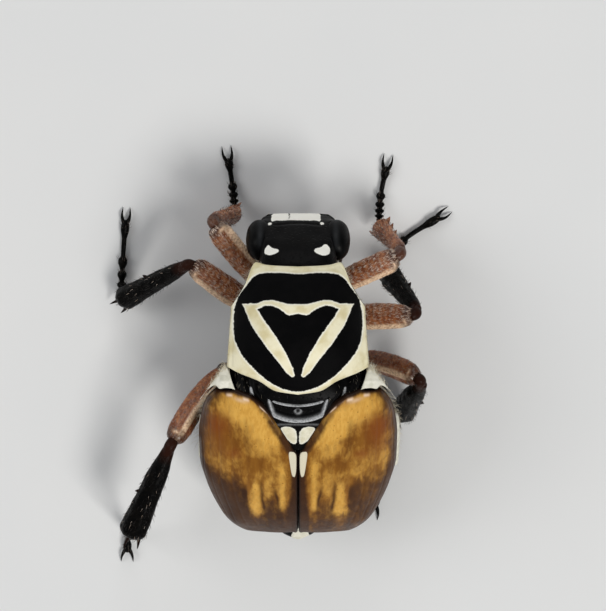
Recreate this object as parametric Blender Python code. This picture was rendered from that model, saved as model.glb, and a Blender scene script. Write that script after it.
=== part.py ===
"""Delta flower scarab, life size: a still model of the beetle standing on its six feet.

World frame: metres, +Z up, the floor at Z = 0, the head towards -Y, the animal's left towards +X.
Lengths in the functions are millimetres in the animal's own frames; the frames turn them into metres.
"""
import math

import bmesh
import bpy
from mathutils import Matrix, Vector

MM = 0.001
GAP = 0.1                     # clearance between neighbouring pieces of so small an animal

# Where the animal stands: its midline and the two reference points of its bent body
MIDLINE_X = -0.4806
PLACE_Y = -2.4983
WAIST_Y, WAIST_Z = 2.413, 4.747        # middle of the elytra's base, on the back
PRONOTUM_Y, PRONOTUM_Z = -0.896, 4.015  # middle of the pronotum's front edge
HIND_PITCH = math.radians(-25)          # the hind body slopes down to the rear
PRONOTUM_PITCH = math.radians(15)       # the pronotum slopes down to the front
HEAD_PITCH = math.radians(58)           # the face slopes steeply down to the front
NECK = (0.0, -0.02, -0.42)               # top of the head, in the pronotum's frame

# Driving sizes of the body
ELYTRON_THICK = 0.45
ELYTRA_WIDTH = 4.68
SCUTELLUM_BASE, SCUTELLUM_TIP = 0.43, 1.30
SCUTELLUM_HALF = 0.46
HEAD_LENGTH = 1.85
EYE_RADII = (0.33, 0.49, 0.42)
EYE_PLACE = (0.885, -1.05, -0.37)
RIM = 0.14                              # thickness of the pronotum's edge

COLOURS = {
    "black": ((0.012, 0.012, 0.014), 0.35),
    "elytra": ((0.52, 0.24, 0.05), 0.30),
    "brown": ((0.20, 0.06, 0.02), 0.35),
    "eye": ((0.01, 0.01, 0.012), 0.15),
}


def smooth(at, *stations):
    """A smooth curve through (place, value) stations."""
    places = [s[0] for s in stations]
    values = [s[1] for s in stations]
    if at <= places[0]:
        return values[0]
    if at >= places[-1]:
        return values[-1]
    last = len(places) - 1
    i = max(j for j in range(last) if places[j] <= at)
    slopes = [(values[j + 1] - values[j]) / (places[j + 1] - places[j]) for j in range(last)]

    def tangent(j):
        if j in (0, last):
            return slopes[0] if j == 0 else slopes[-1]
        before, after = slopes[j - 1], slopes[j]
        return 0.0 if before * after <= 0 else 2 * before * after / (before + after)

    span = places[i + 1] - places[i]
    t = (at - places[i]) / span
    return (
        values[i] * (2 * t**3 - 3 * t**2 + 1)
        + values[i + 1] * (3 * t**2 - 2 * t**3)
        + span * (tangent(i) * (t**3 - 2 * t**2 + t) + tangent(i + 1) * (t**3 - t**2))
    )


def mix(a, b, t):
    return a + (b - a) * t


def frame(x, y, z, pitch):
    """A frame in millimetres, turned about X, as a matrix to world metres."""
    place = Matrix.Translation(Vector((x + MIDLINE_X, y + PLACE_Y, z)) * MM)
    return place @ Matrix.Rotation(pitch, 4, "X") @ Matrix.Scale(MM, 4)


GROUND = frame(0, 0, 0, 0)
HIND = frame(0, WAIST_Y, WAIST_Z, HIND_PITCH)
FORE = frame(0, PRONOTUM_Y, PRONOTUM_Z, PRONOTUM_PITCH)
HEAD = FORE @ Matrix.Translation(NECK) @ Matrix.Rotation(HEAD_PITCH - PRONOTUM_PITCH, 4, "X")


# Making and joining meshes

def material(name):
    found = bpy.data.materials.get(name)
    if found:
        return found
    colour, roughness = COLOURS[name]
    made = bpy.data.materials.new(name)
    made.use_nodes = True
    shader = made.node_tree.nodes["Principled BSDF"]
    shader.inputs["Base Color"].default_value = (*colour, 1)
    shader.inputs["Roughness"].default_value = roughness
    shader.inputs["Metallic"].default_value = 0.0
    return made


def new_object(name, form, colour="black"):
    """An object from a bmesh whose points are already in world metres."""
    if form.calc_volume(signed=True) < 0:
        bmesh.ops.reverse_faces(form, faces=form.faces)
    mesh = bpy.data.meshes.new(name)
    form.to_mesh(mesh)
    form.free()
    mesh.shade_smooth()
    mesh.set_sharp_from_angle(angle=math.radians(40))
    mesh.materials.append(material(colour))
    made = bpy.data.objects.new(name, mesh)
    bpy.context.scene.collection.children["delta_flower_scarab"].objects.link(made)
    return made


def barrel(name, sides, rings, shape, colour="black"):
    """A closed cylinder, cut into rings, whose points go where shape(angle, along) puts them."""
    form = bmesh.new()
    bmesh.ops.create_cone(
        form, cap_ends=True, segments=sides, radius1=1, radius2=1, depth=1,
        matrix=Matrix.Translation((0, 0, 0.5)),
    )
    for i in range(1, rings):
        everything = form.verts[:] + form.edges[:] + form.faces[:]
        bmesh.ops.bisect_plane(form, geom=everything, plane_co=(0, 0, i / rings), plane_no=(0, 0, 1))
    for point in form.verts:
        point.co = shape(math.atan2(point.co.y, point.co.x), point.co.z)
    return new_object(name, form, colour)


def block(name, cells, shape, colour="black"):
    """A closed box, cut into cells, whose points go where shape(u, v, w) puts them."""
    form = bmesh.new()
    bmesh.ops.create_cube(form, size=1, matrix=Matrix.Translation((0.5, 0.5, 0.5)))
    for axis, count in enumerate(cells):
        normal = Vector([float(i == axis) for i in range(3)])
        for i in range(1, count):
            everything = form.verts[:] + form.edges[:] + form.faces[:]
            bmesh.ops.bisect_plane(form, geom=everything, plane_co=normal * i / count, plane_no=normal)
    for point in form.verts:
        point.co = shape(*point.co)
    return new_object(name, form, colour)


def ball(name, place, radii, turn, cells, colour="black"):
    """An ellipsoid in the given frame."""
    form = bmesh.new()
    matrix = turn @ Matrix.Translation(place) @ Matrix.Diagonal((*radii, 1))
    bmesh.ops.create_uvsphere(form, u_segments=cells[0], v_segments=cells[1], radius=1, matrix=matrix)
    return new_object(name, form, colour)


def spine(name, root, tip, thick, bend=(0, 0, 0), sides=6, colour="black"):
    """A tapered spine in the ground frame, from its sunk root to its tip."""
    root, tip, bend = Vector(root), Vector(tip), Vector(bend)
    axis = (tip - root).normalized()
    side = axis.orthogonal().normalized()
    other = axis.cross(side)

    def shape(angle, along):
        radius = thick * (1 - along) ** 0.7 + 0.015
        centre = root.lerp(tip, along) + bend * math.sin(math.pi * along)
        return GROUND @ (centre + radius * (math.cos(angle) * side + math.sin(angle) * other))

    return barrel(name, sides, 3, shape, colour)


def keep_largest(target):
    """Keeps only the largest closed surface of a mesh."""
    form = bmesh.new()
    form.from_mesh(target.data)
    left = set(form.faces)
    surfaces = []
    while left:
        stack = [left.pop()]
        surface = []
        while stack:
            face = stack.pop()
            surface.append(face)
            for edge in face.edges:
                for other in edge.link_faces:
                    if other in left:
                        left.discard(other)
                        stack.append(other)
        surfaces.append(surface)
    surfaces.sort(key=lambda faces: sum(face.calc_area() for face in faces))
    for surface in surfaces[:-1]:
        bmesh.ops.delete(form, geom=surface, context="FACES")
    loose = [point for point in form.verts if not point.link_faces]
    bmesh.ops.delete(form, geom=loose, context="VERTS")
    bmesh.ops.triangulate(form, faces=form.faces)
    form.to_mesh(target.data)
    form.free()


def combine(target, pieces, operation):
    """Joins the pieces to the target, or cuts them from it, and removes them."""
    group = bpy.data.collections.new(target.name + "_pieces")
    bpy.context.scene.collection.children.link(group)
    for piece in pieces:
        for holder in piece.users_collection:
            holder.objects.unlink(piece)
        group.objects.link(piece)
    boolean = target.modifiers.new(operation.lower(), "BOOLEAN")
    boolean.operation = operation
    boolean.solver = "EXACT"
    boolean.operand_type = "COLLECTION"
    boolean.collection = group
    bpy.context.view_layer.update()
    graph = bpy.context.evaluated_depsgraph_get()
    result = bpy.data.meshes.new_from_object(target.evaluated_get(graph))
    target.modifiers.clear()
    target.data = result
    for piece in pieces:
        bpy.data.objects.remove(piece)
    bpy.data.collections.remove(group)
    keep_largest(target)
    target.data.shade_smooth()
    target.data.set_sharp_from_angle(angle=math.radians(40))
    return target


def fuse(target, pieces):
    return combine(target, pieces, "UNION")


def cut(target, pieces):
    return combine(target, pieces, "DIFFERENCE")


# The elytra and the trunk under them, in the hind frame: x to the left, a to the rear, h up

def half_width(a):
    return smooth(
        a, (-0.15, 1.78), (0.1, 1.93), (0.45, 2.14), (1.0, 2.28), (1.63, ELYTRA_WIDTH / 2), (2.5, 2.335),
        (3.36, 2.18), (4.2, 1.89), (4.6, 1.73), (4.8, 1.63), (5.0, 1.48), (5.3, 1.15),
    )


def trunk_half_width(a):
    """The trunk is as wide as the elytra, but narrows under the pronotum and at the tip."""
    limit = smooth(
        a, (-0.7, 0.95), (-0.35, 1.3), (0.0, 1.82), (0.4, 2.5), (4.0, 2.5), (4.3, 1.7), (4.6, 1.3),
        (5.0, 0.75), (5.3, 0.38),
    )
    return min(limit, half_width(a))


def margin_height(a):
    return smooth(a, (0, -0.75), (1, -1.0), (2.5, -1.1), (3.4, -1.15), (4.2, -1.2), (5.3, -1.6))


def crown_height(a):
    return smooth(
        a, (-0.6, -0.2), (0, 0.05), (1, 0.12), (2, 0.08), (3, -0.06), (3.8, -0.27), (4.3, -0.50),
        (4.7, -0.74), (5.3, -1.15),
    )


ABDOMEN_START = 2.32
SEGMENT_LENGTH = 0.516
SEGMENT_STEP = 0.06


def belly_depth(a):
    return smooth(
        a, (-0.7, -2.3), (0.2, -3.05), (1.2, -3.25), (2.2, -3.2), (3.2, -3.0), (4.2, -2.75),
        (5.0, -2.45), (5.3, -2.1),
    )


def flank_tuck(a):
    """How far the lower flank keeps in under the elytra, as a share of the trunk's width."""
    return smooth(a, (-0.7, 0.80), (0.4, 0.78), (1.0, 0.78), (1.3, 0.87), (1.7, 0.96), (2.2, 1.0))


def inner_edge(a):
    """The elytron's inner edge runs along the scutellum, then beside the suture."""
    along = (SCUTELLUM_TIP - a) / (SCUTELLUM_TIP - SCUTELLUM_BASE)
    return max(GAP / 2, SCUTELLUM_HALF * along + GAP)


def elytron_point(s, t, depth=0.0):
    """s from the suture to the margin, t from the base to the rear edge, depth below the surface."""
    base = smooth(
        s, (0, 0.24), (0.02, 0.07), (0.08, -0.10), (0.2, -0.19), (0.4, -0.20), (0.6, -0.14), (0.8, -0.06),
        (1, 0.04),
    )
    end = smooth(s, (0, 4.72), (0.3, 4.80), (0.5, 4.92), (0.7, 5.04), (0.85, 5.0), (1, 4.76))
    a = mix(base, end, t)
    width = half_width(a)
    first = math.asin(inner_edge(a) / width)
    angle = mix(first, math.pi / 2, s)
    rise = crown_height(a) - margin_height(a)
    x = width * math.sin(angle)
    suture = 0.05 * math.exp(-((x / 0.35) ** 2))
    h = margin_height(a) + rise * math.cos(angle) - suture
    inward = Vector((math.sin(angle) / width, 0, math.cos(angle) / rise)).normalized()
    return Vector((x, a, h)) - depth * inward


def elytron(side, name):
    def shape(u, v, w):
        point = elytron_point(u, v, ELYTRON_THICK * (1 - w))
        point.x = max(point.x, GAP / 2) * side
        return HIND @ point

    return block(name, (10, 16, 1), shape, "elytra")


def segment_step(a):
    """The abdomen's segments: each swells to its rear edge and steps in behind it."""
    if not ABDOMEN_START < a < 4.9:
        return 0.0
    return SEGMENT_STEP * (((a - ABDOMEN_START) / SEGMENT_LENGTH) % 1.0)


def trunk_section(a, grow):
    """Half of the trunk's outline at a, as points from the middle of the back to that of the belly."""
    width = trunk_half_width(a)
    under = mix(ELYTRON_THICK + 0.14, 0.0, smooth(a, (4.90, 0), (5.15, 1))) - grow
    rise = crown_height(a) - margin_height(a)
    low = margin_height(a)
    open_end = smooth(a, (4.85, 0), (5.1, 1))
    inner = mix(width - ELYTRON_THICK - 0.08, 0.92 * width, open_end) + grow
    grow = grow + segment_step(a)
    bottom = belly_depth(a) - grow
    tuck = flank_tuck(a)
    back = [
        (x, low + rise * math.sqrt(1 - (x / width) ** 2) - under)
        for x in (0.0, 0.4 * inner, 0.75 * inner)
    ]
    side = [
        (inner, low + mix(-0.15 + grow, 0.20, open_end)),
        (width - 0.04 + grow, low - 0.17 + grow),
        (tuck * width + 0.02 + grow, low - 0.45),
        (tuck * width - 0.06 + grow, mix(low, bottom, 0.5)),
        (0.70 * tuck * width + grow, mix(low, bottom, 0.80)),
        (0.40 * tuck * width, mix(low, bottom, 0.97)),
        (0.0, bottom),
    ]
    return back + side


def trunk(name, start, end, rings, colour="black", grow=0.0):
    """A length of the trunk between two places along the body."""
    def shape(angle, along):
        a = mix(start - grow, end + grow, along)
        points = trunk_section(a, grow)
        turn = (math.pi / 2 - angle) % (2 * math.pi)
        side = 1 if turn <= math.pi else -1
        part = (turn if side > 0 else 2 * math.pi - turn) / math.pi * (len(points) - 1)
        i = min(int(part), len(points) - 2)
        x, h = (mix(points[i][k], points[i + 1][k], part - i) for k in range(2))
        return HIND @ Vector((side * x, a, h))

    return barrel(name, 36, rings, shape, colour)


def scutellum(grow=0.0):
    """The raised back of the mesothorax, which narrows to the scutellum's tip between the elytra."""
    def shape(u, v, w):
        a = mix(-0.42 - grow, SCUTELLUM_TIP - 0.02, v)
        half = grow + smooth(
            a, (-0.42, 0.95), (0.0, 0.72), (SCUTELLUM_BASE, SCUTELLUM_HALF), (SCUTELLUM_TIP, 0.06),
        )
        top = smooth(a, (-0.42, -0.52), (-0.12, -0.34), (0.2, -0.12), (0.43, 0.0), (1.3, 0.04))
        across = 2 * u - 1
        h = top + grow - 0.10 * across**2 if w > 0.5 else min(top, -0.1) - 0.35
        return HIND @ Vector((across * half, a, h))

    return block("scutellum_form", (6, 8, 1), shape)


def side_plates(grow=0.0):
    """The plate at each side of the mesothorax that shows between the pronotum and the elytron."""
    radii = [radius + grow for radius in (0.44, 0.16, 0.36)]
    return [ball("side_plate", (side * 1.72, -0.47, -0.56), radii, HIND, (12, 8)) for side in (1, -1)]


# The prothorax, in the fore frame: x to the left, b to the rear, k up

def pronotum_edge(u):
    """Front and rear edge of the pronotum at u from -1 to 1 across its width."""
    front = smooth(abs(u), (0, 0.10), (0.45, 0.06), (0.61, 0.0), (0.79, 0.54), (1.0, 1.05))
    rear = smooth(abs(u), (0, 3.10), (0.3, 3.02), (0.55, 2.78), (0.85, 2.58), (1.0, 2.45))
    return front, rear


def pronotum_point(u, v):
    """A point of the pronotum's back: u from -1 to 1 across, v from the front edge to the rear."""
    front, rear = pronotum_edge(u)
    b = mix(front, rear, v)
    half = smooth(b, (0, 1.62), (1.05, 1.58), (1.6, 1.61), (2.2, 1.65), (3.1, 1.69))
    x = u * half
    arch = smooth(b, (0, -0.42), (0.5, 0.05), (1.2, 0.42), (1.9, 0.46), (2.6, 0.24), (3.1, 0.0))
    drop = smooth(b, (0, 0.55), (1.2, 0.95), (2.4, 0.75), (3.1, 0.55))
    return Vector((x, b, arch - drop * abs(u) ** 2.6))


def prothorax():
    def shape(u, v, w):
        across = 2 * u - 1
        top = pronotum_point(across, v)
        if w > 0.5:
            return FORE @ top
        rim = min(1.0, 3.2 * (1 - abs(across)), 6 * v, 3.5 * (1 - v))
        deep = smooth(v, (0, 1.5), (0.3, 2.2), (0.6, 2.2), (1, 1.2)) * (1 - 0.55 * abs(across) ** 1.5)
        depth = RIM + rim * deep
        inset = 1 - 0.22 * rim
        return FORE @ Vector((top.x * inset, mix(1.3, top.y, 1 - 0.25 * rim), top.z - depth))

    made = block("prothorax", (16, 14, 1), shape)
    coxae = [ball("coxa", (side * 0.52, 0.85, -2.0), (0.36, 0.42, 0.5), FORE, (12, 8)) for side in (1, -1)]
    fuse(made, coxae)
    socket = head_form("head_socket", GAP)
    hollow = trunk("hollow", -0.62, 0.62, 8, grow=GAP)
    return cut(made, [socket, hollow, scutellum(GAP), *side_plates(GAP)])


# The head, in its own frame: x to the left, f to the rear, g out of the face

def head_form(name, grow=0.0):
    def shape(angle, along):
        f = mix(0.32 + grow, -HEAD_LENGTH - grow, along)
        half = grow + smooth(
            f, (-1.85, 0.68), (-1.78, 0.77), (-1.5, 0.82), (-1.2, 0.83), (-0.8, 0.84), (-0.3, 0.92),
            (0.1, 0.80), (0.32, 0.45),
        )
        top = grow + smooth(
            f, (-1.85, -0.30), (-1.6, -0.16), (-1.1, 0.02), (-0.5, 0.08), (0, 0.0), (0.32, -0.2),
        )
        low = -grow + smooth(
            f, (-1.85, -0.44), (-1.6, -0.55), (-1.2, -0.85), (-0.7, -1.05), (0, -0.95), (0.32, -0.6),
        )
        x = half * math.copysign(abs(math.cos(angle)) ** 0.75, math.cos(angle))
        rise = math.copysign(abs(math.sin(angle)) ** 0.8, math.sin(angle))
        return HEAD @ Vector((x, f, mix(low, top, 0.5 + 0.5 * rise)))

    return barrel(name, 28, 14, shape)


def mouthparts():
    """The labrum under the clypeus, two mandibles and two maxillary palps."""
    pieces = [ball("labrum", (0, -1.64, -0.52), (0.34, 0.16, 0.10), HEAD, (12, 6))]
    for side in (1, -1):
        pieces.append(ball("mandible", (side * 0.32, -1.44, -0.68), (0.17, 0.28, 0.16), HEAD, (10, 6)))
        path = [(side * 0.34, -1.10, -0.80), (side * 0.42, -1.36, -0.98), (side * 0.38, -1.66, -1.02)]
        radii = [(0, 0.10), (0.35, 0.08), (0.5, 0.11), (0.62, 0.08), (0.85, 0.12), (1, 0.05)]
        pieces.append(limb("palp", path, radii, turn=HEAD, sides=8, rings=8))
    return pieces


def eye(side, name, grow=0.0):
    place = (side * EYE_PLACE[0], EYE_PLACE[1], EYE_PLACE[2])
    radii = [radius + grow for radius in EYE_RADII]
    return ball(name, place, radii, HEAD, (20, 12), "eye")


def head():
    made = head_form("head")
    fuse(made, mouthparts())
    sockets = [eye(side, "socket", GAP) for side in (1, -1)]
    return cut(made, sockets)


# Legs and antennae

def spline(points, t):
    """A smooth path through the points."""
    points = [Vector(p) for p in points]
    count = len(points) - 1
    i = min(int(t * count), count - 1)
    u = t * count - i
    before = points[i - 1] if i > 0 else 2 * points[0] - points[1]
    after = points[i + 2] if i + 2 <= count else 2 * points[-1] - points[-2]
    return 0.5 * (
        2 * points[i]
        + (points[i + 1] - before) * u
        + (2 * before - 5 * points[i] + 4 * points[i + 1] - after) * u**2
        + (3 * points[i] - before - 3 * points[i + 1] + after) * u**3
    )


def limb(name, path, radii, flat=1.0, turn=GROUND, sides=12, rings=10, colour="black"):
    """A tube along a path. radii gives (along, radius), and flat is its height over its width."""
    def shape(angle, along):
        centre = spline(path, along)
        axis = (spline(path, min(along + 0.02, 1)) - spline(path, max(along - 0.02, 0))).normalized()
        side = axis.cross(Vector((0, 0, 1))).normalized()
        other = side.cross(axis)
        radius = smooth(along, *radii)
        offset = radius * (math.cos(angle) * side + flat * math.sin(angle) * other)
        return turn @ (centre + offset)

    return barrel(name, sides, rings, shape, colour)


# Each leg: hip, knee, ankle and the path of its tarsus, in the ground frame
LEGS = {
    "front_left": (
        (0.78, 0.22, 1.90), (1.97, -1.31, 2.20), (1.52, -1.16, 0.48),
        [(1.53, -1.34, 0.19), (1.58, -1.78, 0.15), (1.68, -2.45, 0.12)],
    ),
    "front_right": (
        (-0.82, 0.26, 1.90), (-2.35, -0.55, 2.20), (-1.94, -0.86, 0.48),
        [(-1.955, -1.13, 0.175), (-1.99, -1.55, 0.15), (-2.12, -2.25, 0.12)],
    ),
    "middle_left": (
        (0.90, 0.95, 1.62), (2.50, -0.32, 2.10), (4.28, 1.00, 0.42),
        [(4.28, 0.90, 0.20), (4.24, 0.08, 0.15), (4.16, -0.93, 0.12)],
    ),
    "middle_right": (
        (-0.90, 1.12, 1.66), (-2.70, 0.85, 2.40), (-2.20, 0.34, 0.48),
        [(-2.30, 0.06, 0.175), (-2.55, -0.42, 0.15), (-3.42, -1.02, 0.12)],
    ),
    "hind_left": (
        (1.78, 2.62, 0.88), (2.99, 3.94, 2.40), (4.05, 6.52, 1.80),
        [(4.09, 6.64, 1.46), (4.14, 6.80, 0.80), (4.18, 6.98, 0.26), (4.20, 7.46, 0.12)],
    ),
    "hind_right": (
        (-1.55, 2.30, 0.92), (-2.83, 2.35, 2.40), (-2.48, 3.85, 0.42),
        [(-2.46, 3.92, 0.22), (-2.22, 4.85, 0.15), (-1.86, 6.36, 0.12)],
    ),
}
FEMUR_RADII = {"front": 0.28, "middle": 0.30, "hind": 0.28}
TIBIA_TIP_RADII = {"front": 0.25, "middle": 0.29, "hind": 0.34}
KNEE_RADIUS, KNEE_TIP_RADIUS = 0.22, 0.15


def floor_cutter(path):
    """A block under the floor, wide enough for one foot."""
    middle = (Vector(path[0]) + Vector(path[-1])) / 2

    def shape(u, v, w):
        return GROUND @ Vector((middle.x + 6 * (u - 0.5), middle.y + 6 * (v - 0.5), w - 1.0))

    return block("floor_cutter", (1, 1, 1), shape)


def femur(name, hip, knee, thick):
    hip, knee = Vector(hip), Vector(knee)
    radii = [
        (0, 0.12), (0.06, 0.20), (0.2, 0.25), (0.5, thick), (0.8, 0.26), (0.94, KNEE_RADIUS),
        (1, KNEE_TIP_RADIUS),
    ]
    outward = math.copysign(0.07, knee.x)
    middle = hip.lerp(knee, 0.5) + Vector((outward, -0.05, 0.04))
    return limb(name, [hip, middle, knee], radii, flat=0.85, sides=14, rings=12, colour="brown")


def tibia(name, hip, knee, ankle, thick, colour):
    hip, knee, ankle = Vector(hip), Vector(knee), Vector(ankle)
    femur_axis = (knee - hip).normalized()
    axis = (ankle - knee).normalized()
    # A folded knee needs the shin to start further out
    lead = 0.4 if axis.dot(femur_axis) > 0 else 0.8
    start = knee + (axis + lead * femur_axis).normalized() * (KNEE_TIP_RADIUS + GAP + 0.02)
    radii = [
        (0, 0.13), (0.12, 0.17), (0.3, 0.70 * thick), (0.55, 0.80 * thick), (0.8, 0.95 * thick),
        (0.92, thick), (1, 0.6 * thick),
    ]
    made = limb(name, [start, ankle], radii, flat=0.75, rings=10, colour=colour)
    side = axis.cross(Vector((0, 0, 1))).normalized()
    outward = side if (side.x > 0) == (knee.x > 0) else -side
    pieces = []
    for turn, reach in ((0.55, 0.42), (-0.55, 0.36)):
        root = ankle - axis * 0.16 + outward * turn * 0.14
        tip = ankle + axis * reach + outward * turn * 0.50
        pieces.append(spine("spur", root, tip, 0.08, colour=colour))
    tooth_root = start.lerp(ankle, 0.56)
    tooth_tip = tooth_root + outward * (thick + 0.10) + axis * 0.06
    pieces.append(spine("tooth", tooth_root, tooth_tip, 0.16, colour=colour))
    return fuse(made, pieces)


def tarsus(name, path):
    """Five segments, each swelling to its end, and two claws."""
    radii = []
    for i in range(5):
        radii += [(i / 5, 0.12), (i / 5 + 0.16, 0.165)]
    made = limb(name, path, radii + [(1, 0.12)], sides=8, rings=20)
    tip = Vector(path[-1])
    ahead = (tip - spline(path, 0.9)).normalized()
    side = ahead.cross(Vector((0, 0, 1))).normalized()
    claws = []
    for turn in (1, -1):
        root = tip - ahead * 0.10 + side * turn * 0.05
        end = tip + ahead * 0.32 + side * turn * 0.12 - Vector((0, 0, 0.06))
        claws.append(spine("claw", root, end, 0.07, bend=side * turn * 0.05 + Vector((0, 0, 0.05))))
    fuse(made, claws)
    return cut(made, [floor_cutter(path)])


def leg(name, hip, knee, ankle, path):
    kind = name.split("_")[0]
    shade = "brown" if kind == "front" else "black"
    femur(name + "_femur", hip, knee, FEMUR_RADII[kind])
    tibia(name + "_tibia", hip, knee, ankle, TIBIA_TIP_RADII[kind], shade)
    tarsus(name + "_tarsus", path)


def antenna(side, name):
    """A short stalk and a club of three leaves."""
    path = [
        (side * 0.87, -1.66, -0.60), (side * 0.92, -1.73, -0.78), (side * 0.94, -1.70, -0.98),
        (side * 0.92, -1.60, -1.18),
    ]
    radii = [(0, 0.08), (0.2, 0.13), (0.4, 0.10), (0.5, 0.12), (0.6, 0.10), (0.7, 0.12), (0.8, 0.10), (1, 0.14)]
    stalk = limb(name, path, radii, turn=HEAD, sides=8, rings=14)
    leaves = [
        ball("leaf", (side * (0.91 + 0.105 * i), -1.53, -1.38), (0.075, 0.17, 0.33), HEAD, (10, 8))
        for i in (-1, 0, 1)
    ]
    return fuse(stalk, leaves)


def mesothorax():
    made = trunk("mesothorax", -0.62, 0.60, 8)
    coxae = [ball("coxa", (side * 0.55, 0.22, -2.85), (0.38, 0.38, 0.42), HIND, (12, 8)) for side in (1, -1)]
    return fuse(made, [scutellum(), *coxae, *side_plates()])


def metathorax():
    made = trunk("metathorax", 0.72, 2.2, 8)
    coxae = [ball("coxa", (side * 0.70, 1.80, -2.98), (0.70, 0.28, 0.36), HIND, (14, 8)) for side in (1, -1)]
    return fuse(made, coxae)


def main():
    for old in list(bpy.data.objects):
        bpy.data.objects.remove(old)
    parts = bpy.data.collections.new("delta_flower_scarab")
    bpy.context.scene.collection.children.link(parts)
    head()
    prothorax()
    mesothorax()
    metathorax()
    trunk("abdomen", ABDOMEN_START, 5.3, 20)
    for side, word in ((1, "left"), (-1, "right")):
        eye(side, "eye_" + word)
        antenna(side, "antenna_" + word)
        elytron(side, "elytron_" + word)
    for name, places in LEGS.items():
        leg(name, *places)


main()
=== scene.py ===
"""Looks of a delta flower scarab: skins, markings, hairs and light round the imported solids.

World frame: metres, +Z up, the floor at Z = 0, the head towards -Y, the animal's left towards +X.
Lengths in the functions are millimetres in the animal's own frames, which turn them into metres.
"""
import math

import bpy
import numpy as np
from mathutils import Matrix, Vector


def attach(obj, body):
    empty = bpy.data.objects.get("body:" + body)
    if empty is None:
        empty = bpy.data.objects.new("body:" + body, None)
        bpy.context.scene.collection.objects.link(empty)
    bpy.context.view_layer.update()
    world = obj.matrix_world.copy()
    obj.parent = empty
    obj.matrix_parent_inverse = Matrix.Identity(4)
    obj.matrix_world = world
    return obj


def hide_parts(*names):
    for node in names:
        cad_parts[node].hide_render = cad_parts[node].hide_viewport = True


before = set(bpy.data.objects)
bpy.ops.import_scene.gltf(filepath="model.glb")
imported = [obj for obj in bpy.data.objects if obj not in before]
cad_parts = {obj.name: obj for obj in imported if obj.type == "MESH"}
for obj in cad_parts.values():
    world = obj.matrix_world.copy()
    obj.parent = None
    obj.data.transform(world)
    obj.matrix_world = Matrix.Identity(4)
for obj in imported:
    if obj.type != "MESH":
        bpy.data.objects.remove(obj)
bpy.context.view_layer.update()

MM = 0.001

# Where the animal stands, and how its body bends
MIDLINE_X = -0.4806
PLACE_Y = -2.4983
WAIST_Y, WAIST_Z = 2.413, 4.747
PRONOTUM_Y, PRONOTUM_Z = -0.896, 4.015
HIND_PITCH = math.radians(-25)
PRONOTUM_PITCH = math.radians(15)
HEAD_PITCH = math.radians(58)
NECK = (0.0, -0.02, -0.42)

# Driving sizes of the body
SEAM = 0.012                  # half of the gap between the two elytra
ELYTRON_EDGE = 0.16           # thickness of an elytron's rim
ELYTRA_WIDTH = 4.68
SCUTELLUM_BASE, SCUTELLUM_TIP = 0.43, 1.30
SCUTELLUM_HALF = 0.46
HEAD_LENGTH = 1.85
EYE_RADII = (0.33, 0.49, 0.42)
EYE_PLACE = (0.885, -1.05, -0.37)
PRONOTUM_EDGE = 0.14          # thickness of its rim before the edge is rounded
ABDOMEN_START = 2.32          # front of its first segment, in the hind frame
SEGMENT_LENGTH = 0.516        # of the abdomen
FOOT_HEIGHT = 0.115           # middle of a foot that lies on the floor
LEAST_HEIGHT = 0.004          # feet and hairs keep this far above the floor

# Cosine and sine of the 40 degrees between the hind body and the camera's view
SEEN_ALONG, SEEN_UP = 0.766, 0.642


# Curves and frames

def smooth(at, *stations):
    """A smooth curve through (place, value) stations, for one number or an array."""
    places, values = np.array(stations, float).T
    slopes = np.diff(values) / np.diff(places)
    tangents = np.empty_like(values)
    tangents[0], tangents[-1] = slopes[0], slopes[-1]
    before, after = slopes[:-1], slopes[1:]
    same = before * after > 0
    tangents[1:-1] = np.where(same, 2 * before * after / np.where(same, before + after, 1), 0)
    at = np.clip(at, places[0], places[-1])
    i = np.clip(np.searchsorted(places, at, side="right") - 1, 0, len(places) - 2)
    span = np.diff(places)[i]
    t = (at - places[i]) / span
    return (
        values[i] * (2 * t**3 - 3 * t**2 + 1)
        + values[i + 1] * (3 * t**2 - 2 * t**3)
        + span * (tangents[i] * (t**3 - 2 * t**2 + t) + tangents[i + 1] * (t**3 - t**2))
    )


def step(value, start, end):
    """0 up to start and 1 from end on."""
    return smooth(value, (start, 0), (end, 1))


def fade(value, start, end):
    """1 up to start and 0 from end on."""
    return smooth(value, (start, 1), (end, 0))


def band(value, start, full, last, end):
    """1 between full and last, and 0 outside start and end."""
    return smooth(value, (start, 0), (full, 1), (last, 1), (end, 0))


def column(count):
    """Places from 0 to 1 down the first index of a grid."""
    return np.linspace(0, 1, count)[:, None]


def row(count):
    """Places from 0 to 1 along the second index of a grid."""
    return np.linspace(0, 1, count)[None]


def mix(a, b, t):
    return a + (b - a) * t


def hill(value, middle, width):
    return np.exp(-(((value - middle) / width) ** 2))


def unit(vectors):
    return vectors / np.maximum(np.linalg.norm(vectors, axis=-1, keepdims=True), 1e-12)


def spline(points, t):
    """A smooth path through the points, at one place or at an array of places."""
    points = np.array(points, float)
    count = len(points) - 1
    t = np.asarray(t, float)
    i = np.minimum((t * count).astype(int), count - 1)
    u = (t * count - i)[..., None]
    padded = np.concatenate([[2 * points[0] - points[1]], points, [2 * points[-1] - points[-2]]])
    before, here, after, last = (padded[i + k] for k in range(4))
    return 0.5 * (
        2 * here
        + (after - before) * u
        + (2 * before - 5 * here + 4 * after - last) * u**2
        + (3 * here - before - 3 * after + last) * u**3
    )


def body_frame(x, y, z, pitch):
    """A frame in millimetres, turned about X, as a matrix to world metres."""
    place = Matrix.Translation(Vector((x + MIDLINE_X, y + PLACE_Y, z)) * MM)
    return place @ Matrix.Rotation(pitch, 4, "X") @ Matrix.Scale(MM, 4)


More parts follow.
